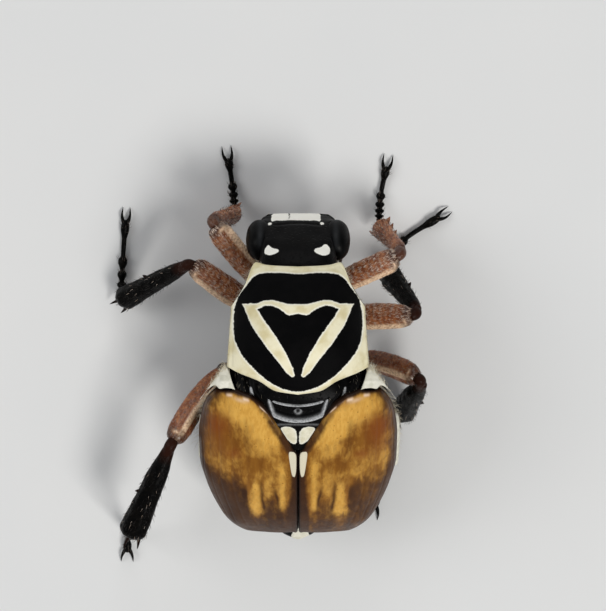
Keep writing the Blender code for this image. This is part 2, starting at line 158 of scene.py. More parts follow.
GROUND = body_frame(0, 0, 0, 0)
HIND = body_frame(0, WAIST_Y, WAIST_Z, HIND_PITCH)
FORE = body_frame(0, PRONOTUM_Y, PRONOTUM_Z, PRONOTUM_PITCH)
HEAD = FORE @ Matrix.Translation(NECK) @ Matrix.Rotation(HEAD_PITCH - PRONOTUM_PITCH, 4, "X")


def to_world(matrix, points):
    turn = np.array(matrix)
    return np.asarray(points) @ turn[:3, :3].T + turn[:3, 3]


def stack(*parts):
    return np.stack(np.broadcast_arrays(*parts), -1).astype(float)


def grid_normals(points, inside, wrap=False):
    """Unit normals of a grid of points, turned away from the point inside."""
    if wrap:
        padded = np.concatenate([points[:, -1:], points, points[:, :1]], axis=1)
        across = padded[:, 2:] - padded[:, :-2]
    else:
        across = np.gradient(points, axis=1)
    normals = unit(np.cross(np.gradient(points, axis=0), across))
    away = (normals * (points - np.asarray(inside))).sum()
    return normals if away > 0 else -normals


def around(sides):
    """Angles all the way round a section of so many sides."""
    return np.linspace(0, 2 * math.pi, sides, endpoint=False)


def globe(rings, sides, pole=0.02):
    """Angles from pole to pole, as a column, and round a globe, as a row."""
    return np.linspace(pole, math.pi - pole, rings)[:, None], around(sides)[None]


def sphere(rings, sides, pole=0.02):
    """Points of a ball of radius 1, whose poles lie along its third axis."""
    polar, angle = globe(rings, sides, pole)
    return stack(np.sin(polar) * np.cos(angle), np.sin(polar) * np.sin(angle), np.cos(polar))


def boxed(value, power):
    """A power of a sine or cosine that keeps its sign, which makes a round section squarer."""
    return np.sign(value) * abs(value) ** power


# Markings: signed distances in millimetres, positive inside a mark

def outline_depth(x, y, outline, steps=5):
    """How deep (x, y) lies inside a closed outline, which is smoothed through its points."""
    closed = np.array([outline[-1], *outline, outline[0], outline[1]], float)
    t = (1 + np.arange(len(outline) * steps) / steps) / (len(closed) - 1)
    corners = spline(closed, t)
    ends = np.roll(corners, -1, axis=0)
    nearest = np.full(np.shape(x), 1e9)
    inside = np.zeros(np.shape(x), bool)
    for (x0, y0), (x1, y1) in zip(corners, ends):
        dx, dy = x1 - x0, y1 - y0
        along = np.clip(((x - x0) * dx + (y - y0) * dy) / max(dx * dx + dy * dy, 1e-12), 0, 1)
        nearest = np.minimum(nearest, np.hypot(x - x0 - along * dx, y - y0 - along * dy))
        if abs(dy) > 1e-9:
            inside ^= ((y0 > y) != (y1 > y)) & (x < x0 + (y - y0) * dx / dy)
    return np.where(inside, nearest, -nearest)


def both_halves(half):
    """A closed outline from its half with x above 0."""
    return [*half, *((-x, y) for x, y in half[-2:0:-1])]


def stroke_depth(x, y, *stations):
    """How deep (x, y) lies inside a stroke through (x, y, half width) stations."""
    deepest = np.full(np.shape(x), -1e9)
    for (x0, y0, w0), (x1, y1, w1) in zip(stations, stations[1:]):
        dx, dy = x1 - x0, y1 - y0
        along = np.clip(((x - x0) * dx + (y - y0) * dy) / (dx * dx + dy * dy), 0, 1)
        away = np.hypot(x - x0 - along * dx, y - y0 - along * dy)
        deepest = np.maximum(deepest, mix(w0, w1, along) - away)
    return deepest


# Meshes

def quads_of(rows, columns, wrap=False):
    """The faces of a grid of points, closed in its second index when wrap is set."""
    i = np.arange(rows - 1)[:, None] * columns
    j = np.arange(columns if wrap else columns - 1)[None]
    after = (j + 1) % columns
    return np.stack([i + j, i + after, i + columns + after, i + columns + j], -1).reshape(-1, 4)


def signed_volume(points, faces):
    total = 0.0
    for group in faces:
        for k in range(1, group.shape[1] - 1):
            a, b, c = points[group[:, 0]], points[group[:, k]], points[group[:, k + 1]]
            total += np.einsum("ij,ij->", a, np.cross(b, c))
    return total


def limb(path, radii, flat=1.0, sides=32, rows=60, swell=None, span=(0.0, 1.0)):
    """Rings of points round a path. swell(along, angle) shapes the section."""
    along = np.linspace(*span, rows)
    centre = spline(path, along)
    axis = unit(spline(path, np.minimum(along + 0.02, 1)) - spline(path, np.maximum(along - 0.02, 0)))
    side = unit(np.cross(axis, (0.0, 0.0, 1.0)))
    other = np.cross(side, axis)
    angle = around(sides)
    radius = smooth(along, *radii)[:, None] * (1 if swell is None else swell(along[:, None], angle[None]))
    offset = (
        (radius * np.cos(angle))[..., None] * side[:, None]
        + (flat * radius * np.sin(angle))[..., None] * other[:, None]
    )
    return centre[:, None] + offset, along, angle


def add_object(name, data):
    made = bpy.data.objects.new(name, data)
    bpy.context.scene.collection.objects.link(made)
    return made


def add_piece(name, mesh, material, nodes):
    """Makes a mesh a visible piece on the root body and hides the nodes that it stands for."""
    mesh.shade_smooth()
    mesh.materials.append(material)
    made = add_object(name, mesh)
    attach(made, "root")
    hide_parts(*nodes)


class Form:
    """Closed surfaces, with named values at their points, gathered into one mesh."""

    def __init__(self):
        self.points = []
        self.faces = []
        self.values = {}
        self.count = 0

    def add(self, points, faces, values):
        if signed_volume(points - points.mean(axis=0), faces) < 0:
            faces = [group[:, ::-1] for group in faces]
        self.points.append(points)
        self.faces += [group + self.count for group in faces]
        for name, value in values.items():
            self.values.setdefault(name, []).append((self.count, value))
        self.count += len(points)

    def tube(self, rings, **values):
        """A closed tube through rings of points, with one point in the middle of each end."""
        rows, sides = rings.shape[:2]
        ends = rings[[0, -1]].mean(axis=1)
        j = np.arange(sides)
        after = (j + 1) % sides
        first = np.stack([np.full(sides, rows * sides), after, j], -1)
        base = (rows - 1) * sides
        last = np.stack([np.full(sides, rows * sides + 1), base + j, base + after], -1)
        spread = {}
        for name, value in values.items():
            full = np.broadcast_to(value, (rows, sides)).astype(float)
            spread[name] = np.concatenate([full.reshape(-1), full[[0, -1]].mean(axis=1)])
        points = np.concatenate([rings.reshape(-1, 3), ends])
        self.add(points, [quads_of(rows, sides, True), np.concatenate([first, last])], spread)

    def shell(self, outer, inner, **values):
        """A closed shell between two grids of points. A pair of values is for the outer and inner grid."""
        rows, columns = outer.shape[:2]
        count = rows * columns
        index = np.arange(count).reshape(rows, columns)
        rim = np.concatenate([index[0, :-1], index[:-1, -1], index[-1, :0:-1], index[:0:-1, 0]])
        after = np.roll(rim, -1)
        sides = np.stack([rim, after, after + count, rim + count], -1)
        quads = quads_of(rows, columns)
        spread = {}
        for name, value in values.items():
            both = value if isinstance(value, tuple) else (value, value)
            full = [np.broadcast_to(part, (rows, columns)).astype(float).reshape(-1) for part in both]
            spread[name] = np.concatenate(full)
        points = np.concatenate([outer.reshape(-1, 3), inner.reshape(-1, 3)])
        flipped = quads[:, ::-1] + count
        self.add(points, [quads, flipped, sides[:, ::-1]], spread)

    def ball(self, matrix, place, radii, sides=24, rings=16, **values):
        points = np.asarray(place) + sphere(rings, sides) * np.asarray(radii)
        self.tube(to_world(matrix, points), **values)

    def stem(self, matrix, path, radii, sides, rows, **values):
        """A tube of changing thickness along a path."""
        rings, _, _ = limb(path, radii, sides=sides, rows=rows)
        self.tube(to_world(matrix, rings), **values)

    def build(self, name, material, nodes, slot):
        mesh = bpy.data.meshes.new(name)
        points = np.concatenate(self.points)
        faces = [face for group in self.faces for face in group.tolist()]
        mesh.from_pydata(points.tolist(), [], faces)
        for label, pieces in self.values.items():
            full = np.zeros(len(points))
            for start, value in pieces:
                full[start:start + len(value)] = value
            mesh.attributes.new(label, "FLOAT", "POINT").data.foreach_set("value", full)
        add_piece(name, mesh, material, nodes)


class Coat:
    """Hairs as thin spikes, each with its own small patch of the map that carries its colour."""

    PATCH = np.array([
        (0, 0), (0.003, 0), (0.0015, 0.001), (0, 0.002), (0.003, 0.002), (0.0015, 0.0025), (0.0015, 0.003),
    ])
    POINTS = len(PATCH)

    def __init__(self, seed):
        self.chance = np.random.default_rng(seed)
        self.points = []
        self.places = []
        self.tones = []

    def grow(self, points, inside, lie, count, length, thick, rise, weight, cell,
             wrap=False, tone=1.0):
        """Sets hairs on a grid of world points. lie is where they point, rise how steeply they stand.

        weight says where they grow, and cell is the part of the map that they share.
        """
        rows, columns = points.shape[:2]
        normals = grid_normals(points, inside, wrap)
        area = np.linalg.norm(np.cross(np.gradient(points, axis=0), np.gradient(points, axis=1)), axis=-1)
        chances = (np.broadcast_to(weight, (rows, columns)) * area)[:-1, :-1].reshape(-1)
        picked = self.chance.choice(len(chances), count, p=chances / chances.sum())
        i, j = np.divmod(picked, columns - 1)
        fi, fj = self.chance.random((2, count))
        root = (
            points[i, j] * ((1 - fi) * (1 - fj))[:, None] + points[i + 1, j] * (fi * (1 - fj))[:, None]
            + points[i, j + 1] * ((1 - fi) * fj)[:, None] + points[i + 1, j + 1] * (fi * fj)[:, None]
        )
        normal = normals[i, j]
        way = np.broadcast_to(lie, points.shape)[i, j] + self.chance.normal(0, 0.22, (count, 3))
        flat = unit(way - (way * normal).sum(axis=1)[:, None] * normal)
        steep = (rise * self.chance.uniform(0.6, 1.4, count))[:, None]
        aim = flat * np.cos(steep) + normal * np.sin(steep)
        long = (length * MM * self.chance.uniform(0.6, 1.25, count))[:, None]
        side = unit(np.cross(aim, normal))
        other = np.cross(side, aim)
        wide = thick * MM
        middle = root + 0.5 * long * (aim + 0.25 * np.sin(steep + 0.3) * normal)
        rings = []
        for centre, radius in ((root - 0.5 * wide * normal, wide), (middle, 0.7 * wide)):
            for turn in (0.5, 2.6, 4.7):
                rings.append(centre + radius * (math.cos(turn) * side + math.sin(turn) * other))
        rings.append(root + long * aim)
        hairs = np.stack(rings, axis=1)
        hairs[..., 2] = np.maximum(hairs[..., 2], LEAST_HEIGHT * MM)
        self.points.append(hairs)
        self.tones.append(np.full(count * self.POINTS, tone))
        u = cell[0] + (j + fj) / (columns - 1) * cell[2]
        v = cell[1] + (i + fi) / (rows - 1) * cell[3]
        self.places.append(np.stack([u, v], -1)[:, None] + self.PATCH)

    def build(self, name, material, nodes, slot):
        points = np.concatenate(self.points)
        count = len(points)
        start = (np.arange(count) * self.POINTS)[:, None, None]
        quads = (start + np.array([(0, 1, 4, 3), (1, 2, 5, 4), (2, 0, 3, 5)])).reshape(-1, 4)
        tris = (start + np.array([(0, 2, 1), (3, 4, 6), (4, 5, 6), (5, 3, 6)])).reshape(-1, 3)
        mesh = bpy.data.meshes.new(name)
        mesh.from_pydata(points.reshape(-1, 3).tolist(), [], quads.tolist() + tris.tolist())
        corners = np.empty(len(mesh.loops), np.int32)
        mesh.loops.foreach_get("vertex_index", corners)
        tones = mesh.attributes.new("tone", "FLOAT", "POINT")
        tones.data.foreach_set("value", np.concatenate(self.tones))
        chart = mesh.uv_layers.new(name="OFBake")
        chart.data.foreach_set("uv", np.concatenate(self.places).reshape(-1, 2)[corners].reshape(-1))
        add_piece(name, mesh, material, nodes)


# Materials

class Shade:
    """A procedural material, written with short calls. Its textures are scaled in millimetres."""

    def __init__(self, name, **sockets):
        self.material = bpy.data.materials.new(name)
        self.material.use_nodes = True
        self.tree = self.material.node_tree
        self.shader = self.tree.nodes["Principled BSDF"]
        for socket, value in sockets.items():
            self.shader.inputs[socket.replace("_", " ")].default_value = value
        coordinates = self.node("ShaderNodeTexCoord")
        scaled = self.node("ShaderNodeVectorMath", operation="SCALE")
        self.join(coordinates.outputs["Object"], scaled.inputs[0])
        scaled.inputs["Scale"].default_value = 1 / MM
        self.mm = scaled.outputs[0]

    def node(self, kind, **settings):
        made = self.tree.nodes.new(kind)
        for setting, value in settings.items():
            setattr(made, setting, value)
        return made

    def join(self, source, target):
        """Links a socket, or sets a number or colour."""
        if isinstance(source, bpy.types.NodeSocket):
            self.tree.links.new(source, target)
        else:
            target.default_value = (*source, 1) if isinstance(source, tuple) else source

    def value(self, name):
        return self.node("ShaderNodeAttribute", attribute_name=name).outputs["Fac"]

    def texture(self, kind, stretch, **inputs):
        made = self.node(kind)
        mapping = self.node("ShaderNodeMapping")
        mapping.inputs["Scale"].default_value = stretch
        self.join(self.mm, mapping.inputs["Vector"])
        self.join(mapping.outputs[0], made.inputs["Vector"])
        for name, value in inputs.items():
            made.inputs[name].default_value = value
        return made

    def noise(self, scale, detail=3.0, stretch=(1, 1, 1), distort=0.0):
        made = self.texture("ShaderNodeTexNoise", stretch, Scale=scale, Detail=detail, Distortion=distort)
        return made.outputs["Fac"]

    def cells(self, scale, jitter=1.0):
        """Distance to the middle of the nearest cell, for pits and facets."""
        made = self.texture("ShaderNodeTexVoronoi", (1, 1, 1), Scale=scale, Randomness=jitter)
        return made.outputs["Distance"]

    def maths(self, operation, *terms, clamp=False):
        made = self.node("ShaderNodeMath", operation=operation, use_clamp=clamp)
        for term, socket in zip(terms, made.inputs):
            self.join(term, socket)
        return made.outputs[0]

    def add(self, a, b, clamp=False):
        return self.maths("ADD", a, b, clamp=clamp)

    def times(self, a, b, clamp=False):
        return self.maths("MULTIPLY", a, b, clamp=clamp)

    def ramp(self, value, low, high, to_low=0.0, to_high=1.0):
        """A smooth step between two values."""
        made = self.node("ShaderNodeMapRange", interpolation_type="SMOOTHSTEP")
        self.join(value, made.inputs["Value"])
        for name, limit in zip(("From Min", "From Max", "To Min", "To Max"), (low, high, to_low, to_high)):
            made.inputs[name].default_value = limit
        return made.outputs[0]

    def cloud(self, scale, detail, *limits):
        """Noise through a smooth step, with the ramp's limits."""
        return self.ramp(self.noise(scale, detail), *limits)

    def blend(self, factor, a, b):
        made = self.node("ShaderNodeMix", data_type="RGBA")
        self.join(factor, made.inputs["Factor"])
        self.join(a, made.inputs["A"])
        self.join(b, made.inputs["B"])
        return made.outputs["Result"]

    def surface(self, colour, roughness):
        self.join(colour, self.shader.inputs["Base Color"])
        self.join(roughness, self.shader.inputs["Roughness"])

    def bump(self, height, distance, strength=1.0):
        made = self.node("ShaderNodeBump")
        made.inputs["Distance"].default_value = distance * MM
        made.inputs["Strength"].default_value = strength
        self.join(height, made.inputs["Height"])
        self.join(made.outputs[0], self.shader.inputs["Normal"])


def cuticle(name, black, brown, rough, pits, pit_depth, **sockets):
    """Black or brown shell with pits, cream scale marks and grey bloom where the values say so; on the
    mesonotum's ridges the grey is partly a painted highlight.
    """
    shade = Shade(name, **sockets)
    cream = shade.value("cream")
    ragged = shade.maths("MULTIPLY_ADD", shade.noise(30, 2), 0.03, -0.031)
    ragged = shade.add(ragged, shade.times(shade.noise(11, 2), 0.032))
    edge = shade.ramp(shade.add(cream, ragged), -0.008, 0.008)
    tint = shade.blend(shade.cloud(2.6, 5, 0.35, 0.7), (0.93, 0.87, 0.63), (0.74, 0.65, 0.38))
    tint = shade.blend(shade.ramp(cream, 0.0, 0.06), (0.95, 0.93, 0.80), tint)
    chalk = shade.blend(shade.cloud(7, 4, 0.35, 0.7), (0.88, 0.86, 0.76), (0.66, 0.65, 0.55))
    chalk = shade.blend(shade.ramp(shade.value("chalk"), 0.9, 1.0), chalk, (0.97, 0.95, 0.87))
    tint = shade.blend(shade.value("chalk"), tint, chalk)
    ground = shade.blend(shade.cloud(4, 4, 0.35, 0.7), black, brown)
    ash = shade.times(shade.value("ash"), shade.cloud(24, 3, 0.25, 0.6, 0.45, 1.0), True)
    ground = shade.blend(ash, ground, (0.56, 0.57, 0.58))
    rough = shade.blend(edge, (rough, rough, rough), (0.62, 0.62, 0.62))
    shade.surface(shade.blend(edge, ground, tint), rough)
    pit = shade.ramp(shade.cells(pits), 0.0, 0.42)
    grain = shade.times(shade.noise(55, 2), 0.35)
    shade.bump(shade.add(pit, grain), pit_depth)
    return shade.material


def wing_case_material():
    """Amber wing cases with gold, red-brown and dark fields, painted shade down the outer sides, painted
    glints along the base, soft streaks along them and a low gloss.
    """
    shade = Shade("wing_case", Coat_Weight=0.03, Coat_Roughness=0.12, Specular_IOR_Level=0.07)
    streaks = shade.noise(5.0, 4, stretch=(1.0, 0.10, 0.10), distort=0.15)
    patches = shade.noise(3.2, 3, stretch=(1.0, 0.45, 0.45))
    fine = shade.noise(20, 4, stretch=(1.0, 0.30, 0.30))
    mottle = shade.noise(8, 4, stretch=(1.0, 0.50, 0.50), distort=0.5)
    gold = shade.value("gold")
    for texture, low, high in ((patches, -0.10, 0.10), (fine, -0.10, 0.10), (mottle, -0.15, 0.10)):
        gold = shade.add(gold, shade.ramp(texture, 0.3, 0.7, low, high), True)
    red = shade.add(shade.value("red"), shade.ramp(patches, 0.3, 0.7, 0.06, -0.16), True)
    dark = shade.add(shade.value("dark"), shade.ramp(streaks, 0.25, 0.75, -0.09, 0.09))
    dark = shade.add(dark, shade.ramp(patches, 0.3, 0.7, 0.06, -0.06))
    dark = shade.add(dark, shade.ramp(mottle, 0.3, 0.7, 0.10, -0.10), True)
    amber = shade.blend(shade.ramp(streaks, 0.35, 0.65), (0.285, 0.118, 0.016), (0.200, 0.074, 0.010))
    bright = shade.blend(shade.ramp(fine, 0.35, 0.7), (0.78, 0.44, 0.092), (0.66, 0.340, 0.060))
    colour = shade.blend(shade.ramp(gold, 0.0, 0.95), amber, bright)
    colour = shade.blend(shade.times(red, 0.85), colour, (0.225, 0.060, 0.010))
    colour = shade.blend(shade.value("vein"), colour, (0.060, 0.021, 0.006))
    dusk = shade.blend(shade.ramp(patches, 0.3, 0.7), (0.070, 0.028, 0.010), (0.044, 0.016, 0.006))
    # The dark value holds the dark fields and also painted shade down the outer sides
    colour = shade.blend(shade.ramp(dark, 0.08, 0.92), colour, dusk)
    spots = shade.ramp(shade.cells(9), 0.08, 0.24, 0.55, 0.0)
    freckle = shade.times(spots, shade.ramp(fine, 0.4, 0.6))
    colour = shade.blend(freckle, colour, (0.11, 0.040, 0.008))
    colour = shade.blend(shade.value("border"), colour, (0.010, 0.006, 0.005))
    # Painted highlight: pale glints along the base
    colour = shade.blend(shade.value("painted_glint"), colour, (0.90, 0.68, 0.50))
    cream = shade.ramp(shade.value("cream"), -0.008, 0.010)
    rough = shade.cloud(8, 3, 0.3, 0.7, 0.30, 0.42)
    rough = shade.blend(cream, rough, (0.6, 0.6, 0.6))
    shade.surface(shade.blend(cream, colour, (0.78, 0.72, 0.55)), rough)
    pit = shade.ramp(shade.cells(11), 0.0, 0.35)
    shade.bump(shade.add(pit, shade.times(shade.noise(40, 2), 0.5)), 0.0022)
    return shade.material


def leg_material(name, dark, light, rim, rough, **sockets):
    """Leg shell: mottled, darker at the knees, with a pale painted highlight along the keel by the rear edge,
    and coarse pits.
    """
    shade = Shade(name, **sockets)
    mottle = shade.noise(7, 6, distort=0.4)
    colour = shade.blend(shade.ramp(mottle, 0.32, 0.68), dark, light)
    scale = shade.ramp(shade.cells(13), 0.15, 0.55)
    colour = shade.blend(shade.times(scale, 0.55), colour, dark)
    ragged = shade.cloud(20, 3, 0.3, 0.6, 0.35, 1.0)
    # Painted highlight where the rim value is set: along the femur's keel and round the tibia's end
    colour = shade.blend(shade.times(shade.value("rim"), ragged), colour, rim)
    colour = shade.blend(shade.value("knee"), colour, (0.030, 0.010, 0.006))
    shade.surface(colour, shade.cloud(14, 3, 0.3, 0.7, rough - 0.07, rough + 0.1))
    pit = shade.ramp(shade.cells(13), 0.0, 0.4)
    shade.bump(shade.add(pit, shade.times(shade.noise(45, 2), 0.5)), 0.010)
    return shade.material


def eye_material():
    """Nearly black eye with fine facets and a painted grey reflection on its upper side."""
    shade = Shade("eye", Coat_Weight=0.03, Coat_Roughness=0.2, Specular_IOR_Level=0.06)
    # The second colour is the painted reflection
    colour = shade.blend(shade.value("sheen"), (0.001, 0.001, 0.001), (0.016, 0.017, 0.018))
    shade.surface(colour, shade.cloud(20, 2, 0.3, 0.7, 0.34, 0.46))
    shade.bump(shade.cells(42, jitter=0.25), 0.004)
    return shade.material


def hair_material(name, root, tip):
    shade = Shade(name, Specular_IOR_Level=0.3)
    pale = shade.blend(shade.cloud(9, 2, 0.35, 0.65), root, tip)
    colour = shade.blend(shade.value("tone"), (0.012, 0.009, 0.008), pale)
    shade.surface(colour, shade.cloud(30, 2, 0.3, 0.7, 0.40, 0.55))
    return shade.material


BLACK = (0.002, 0.002, 0.0022)
VELVET = cuticle(
    "velvet_cuticle", BLACK, (0.003, 0.0028, 0.003), 0.58, 16, 0.0035, Specular_IOR_Level=0.03,
)
SHINY = cuticle(
    "shiny_cuticle", BLACK, (0.004, 0.0036, 0.0036), 0.36, 13, 0.007, Specular_IOR_Level=0.055,
)
WING_CASE = wing_case_material()
# A leg material's third colour is the painted highlight where the rim value is set
BROWN_LEG = leg_material(
    "brown_leg", (0.21, 0.060, 0.024), (0.58, 0.245, 0.100), (1.0, 0.72, 0.48), 0.27,
    Specular_IOR_Level=0.42,
)
BLACK_LEG = leg_material(
    "black_leg", (0.002, 0.002, 0.002), (0.006, 0.005, 0.004), (0.03, 0.026, 0.022), 0.22,
    Specular_IOR_Level=0.045,
)
HORN = leg_material("brown_horn", (0.06, 0.018, 0.008), (0.17, 0.055, 0.020), (0.2, 0.07, 0.03), 0.35)
EYE = eye_material()
SILVER_HAIR = hair_material("silver_hair", (0.85, 0.62, 0.46), (1.0, 0.86, 0.74))
GOLD_HAIR = hair_material("pale_hair", (0.56, 0.48, 0.32), (0.80, 0.74, 0.60))


# Elytra and trunk, in the hind frame: x to the left, a to the rear, h up

def half_width(a):
    return smooth(
        a, (-0.15, 1.78), (0.1, 1.93), (0.45, 2.14), (1.0, 2.28), (1.63, ELYTRA_WIDTH / 2), (2.5, 2.335),
        (3.36, 2.18), (4.2, 1.89), (4.6, 1.73), (4.8, 1.63), (5.0, 1.48), (5.3, 1.15),
    )


def trunk_half_width(a):
    limit = smooth(
        a, (-0.7, 0.95), (-0.35, 1.3), (0.0, 1.82), (0.4, 2.5), (4.0, 2.5), (4.3, 1.7), (4.6, 1.3),
        (5.0, 0.60), (5.3, 0.18),
    )
    return np.minimum(limit, half_width(a))


def margin_height(a):
    return smooth(a, (0, -0.75), (1, -1.0), (2.5, -1.1), (3.4, -1.15), (4.2, -1.2), (5.3, -1.6))


def crown_height(a):
    return smooth(
        a, (-0.6, -0.2), (0, 0.05), (1, 0.12), (2, 0.08), (3, -0.06), (3.8, -0.27), (4.3, -0.50),
        (4.7, -0.74), (5.3, -1.15),
    )


def belly_depth(a):
    return smooth(
        a, (-0.7, -2.3), (0.2, -3.05), (1.2, -3.25), (2.2, -3.2), (3.2, -3.0), (4.2, -2.75),
        (5.0, -2.45), (5.3, -2.1),
    )


def flank_tuck(a):
    """How far the lower flank keeps in under the elytra, as a share of the trunk's width."""
    return smooth(a, (-0.7, 0.80), (0.4, 0.78), (1.0, 0.78), (1.3, 0.87), (1.7, 0.96), (2.2, 1.0))


def inner_edge(a):
    along = (SCUTELLUM_TIP - a) / (SCUTELLUM_TIP - SCUTELLUM_BASE)
    return np.maximum(SEAM, SCUTELLUM_HALF * along + 0.1)


def elytron_surface(s, t):
    """The back of an elytron: s from the suture to the margin, t from the base to the rear edge."""
    base = smooth(
        s, (0, 0.24), (0.02, 0.07), (0.08, -0.10), (0.2, -0.19), (0.4, -0.20), (0.6, -0.14), (0.8, -0.06),
        (1, 0.04),
    )
    end = smooth(s, (0, 4.72), (0.3, 4.80), (0.5, 4.92), (0.7, 5.04), (0.85, 5.0), (1, 4.76))
    a = mix(base, end, t)
    width = half_width(a)
    first = np.arcsin(np.minimum(inner_edge(a) / width, 1))
    angle = mix(first, math.pi / 2, s)
    rise = crown_height(a) - margin_height(a)
    x = width * np.sin(angle)
    h = margin_height(a) + rise * np.cos(angle) - 0.05 * hill(x, 0, 0.35)
    return stack(x, a, h), (a - base, end - a)


SUTURE_SPOT = (
    (0.215, 1.38), (0.12, 1.33), (0.055, 1.40), (0.04, 1.60), (0.045, 1.95), (0.08, 2.17), (0.14, 2.13),
    (0.19, 1.75),
)


def elytron(side, word):
    s = column(150) ** 0.9
    t = row(190)
    flat, (from_base, from_end) = elytron_surface(s, t)
    normals = grid_normals(flat, (0.9, 2.3, -1.5))
    x, a, h = np.moveaxis(flat, -1, 0)
    from_suture = x - inner_edge(a)
    from_margin = (1 - s) * 2.6 + 0 * t
    # Relief: eight fine lines, the shoulder and rear bosses, the raised suture and the rolled edges
    line = s * 8.5
    inside = step(from_base, 0.1, 0.6) * step(from_end, 0.15, 0.8)
    relief = -0.007 * hill(line - np.round(line), 0, 0.13) * inside * (s > 0.05)
    relief += 0.07 * hill(s, 0.74, 0.13) * hill(from_base, 0.45, 0.35)
    relief += 0.05 * hill(s, 0.60, 0.16) * hill(from_end, 0.75, 0.35)
    relief += 0.02 * hill(from_suture, 0.05, 0.045) * (a > 1.2)
    relief += 0.02 * hill(from_margin, 0.03, 0.03)
    relief += 0.008 * np.sin(2.3 * a + 4 * s) * np.sin(5.1 * s + 1.1 * a)
    nearest = np.minimum(np.minimum(from_suture + 0.012, from_margin), np.minimum(from_base, from_end))
    roll = 0.07
    relief -= roll - np.sqrt(np.maximum(roll**2 - np.maximum(roll - nearest, 0) ** 2, 0))
    outer = flat + relief[..., None] * normals
    depth = mix(ELYTRON_EDGE, 0.24, step(nearest, 0, 0.4))
    inner = flat - depth[..., None] * normals
    inner[..., 0] = np.maximum(inner[..., 0], SEAM)
    outer[..., 0] = np.maximum(outer[..., 0], SEAM)
    flip = np.array([side, 1, 1])
    form = Form()
    form.shell(
        to_world(HIND, outer * flip), to_world(HIND, inner * flip), cream=outline_depth(x, a, SUTURE_SPOT),
        **elytron_colours(side > 0, x, a, h, from_suture, from_margin, from_base, from_end),
    )
    form.build("wing_case_" + word, WING_CASE, ["elytron_" + word], "wing_case")


def elytron_colours(left, x, a, h, from_suture, from_margin, from_base, from_end):
    """Colour fields, placed across (x) and by how far back they show to the camera."""
    back = SEEN_ALONG * a + SEEN_UP * h
    out = x / half_width(a)
    shoulder = smooth(x, (0.35, 0), (0.6, 1), (1.4, 1), (1.9, 0.4), (2.25, 0.2))
    middle_gold, side_gold, side_red, rear_dark = (0.30, 0.15, 0.35, 1.0) if left else (0.40, 0.45, 0.7, 0.78)
    gold = 1.1 * hill(back, 0.02 + 0.46 * (1.6 - x), 0.40) * shoulder
    gold += 0.62 * hill(x, 0.72, 0.42) * smooth(back, (0.3, 0), (0.7, 1), (1.3, 0.75), (1.9, 0.3))
    gold += middle_gold * hill(x, 1.55, 0.50) * band(back, 0.9, 1.25, 1.6, 1.9)
    gold += side_gold * hill(x, 2.05, 0.16) * hill(back, 1.0, 0.5)
    gold -= 0.45 * hill(x, 0.90, 0.26) * hill(back, 1.38, 0.18)
    streak = hill(x, 1.02, smooth(back, (1.8, 0.07), (2.5, 0.20)))
    streak *= band(back, 1.72, 1.95, 2.5, 2.75)
    streak += 0.9 * hill(x, 0.38, 0.09) * band(back, 1.2, 1.7, 2.4, 2.6)
    streak += 0.5 * hill(x, 0.69, 0.11) * smooth(back, (1.6, 0), (1.85, 1), (2.1, 0.9), (2.3, 0))
    gold += 0.75 * streak
    red = hill(x, 1.88, 0.26) * hill(back, 0.40, 0.26) + 0.8 * hill(x, 1.50, 0.19) * hill(back, 1.13, 0.13)
    red += side_red * hill(x, 1.85, 0.28) * hill(back, 0.78, 0.40)
    wander = 0.008 * np.sin(9 * back) + 0.005 * np.sin(23 * back)
    vein = hill(x, 0.90 - 0.13 * (back - 1.8) + wander, 0.042)
    vein *= smooth(back, (1.7, 0), (2.0, 0.7), (2.45, 1), (2.6, 0))
    inner_vein = hill(x, 0.53 - 0.17 * (back - 2.1) - wander, 0.042)
    vein += inner_vein * smooth(back, (1.9, 0), (2.2, 1), (2.7, 0))
    outer_vein = 0.25 * hill(x, 1.24 - 0.05 * back + wander, 0.06)
    vein += outer_vein * band(back, 0.2, 0.4, 0.9, 1.4)
    edge = smooth(
        x, (0.1, 2.45), (0.25, 2.58), (0.42, 2.60), (0.60, 2.36), (0.72, 2.36), (0.95, 2.72), (1.14, 2.60),
        (1.24, 2.10), (1.45, 1.86), (1.9, 1.70), (2.3, 1.5),
    )
    dark = smooth(back - edge, (-0.35, 0), (0.10, 0.72), (0.6, 1.0)) * rear_dark - 0.15 * streak
    dark += 0.35 * hill(x, 1.26, 0.07) * hill(back, 2.1, 0.2)
    # Painted shade down the elytra's downturned outer sides
    dark += smooth(out, (0.84, 0), (0.94, 0.45), (1.0, 1.1)) * smooth(back, (-0.3, 0.6), (0.8, 1))
    dark += 0.95 * fade(from_suture, 0.11, 0.27) * smooth(back, (0.2, 0.6), (1.0, 1))
    dark += 0.9 * hill(from_base, 0.0, 0.09) + 0.2 * hill(x, 2.02, 0.22) * hill(back, -0.08, 0.28)
    border = np.maximum(hill(from_margin, 0, 0.06), 0.9 * hill(from_base, 0, 0.05))
    inner_border = hill(from_suture, -0.01, 0.05) * (a > 1.2)
    border = np.maximum(border, inner_border + 0.6 * hill(from_end, 0, 0.04))
    # Painted highlights: small pale glints along the elytra's base
    painted_glint = hill(from_base, 0.11, 0.035) * step(np.sin(16 * x + 1.0), 0.1, 0.8)
    painted_glint *= smooth(x, (0.6, 0), (0.8, 0.8), (1.6, 0.9), (1.75, 0))
    painted_glint += 0.5 * hill(from_base, 0.17, 0.05) * hill(x, 1.35, 0.14)
    fields = {"gold": gold, "red": red, "dark": dark, "border": border, "painted_glint": painted_glint, "vein": vein}
    highest = {"dark": 1.2, "vein": 0.95}
    return {name: np.clip(field, 0, highest.get(name, 1)) for name, field in fields.items()}


def segment_edge(a, depth):
    """The step at the rear edge of each abdominal segment."""
    part = ((a - ABDOMEN_START) / SEGMENT_LENGTH) % 1.0
    ring = smooth(part, (0, 0), (0.8, 0.75), (0.93, 1.0), (1.0, 0.0))
    return depth * ring * (a > ABDOMEN_START) * smooth(a, (4.7, 1), (5.0, 0.2))


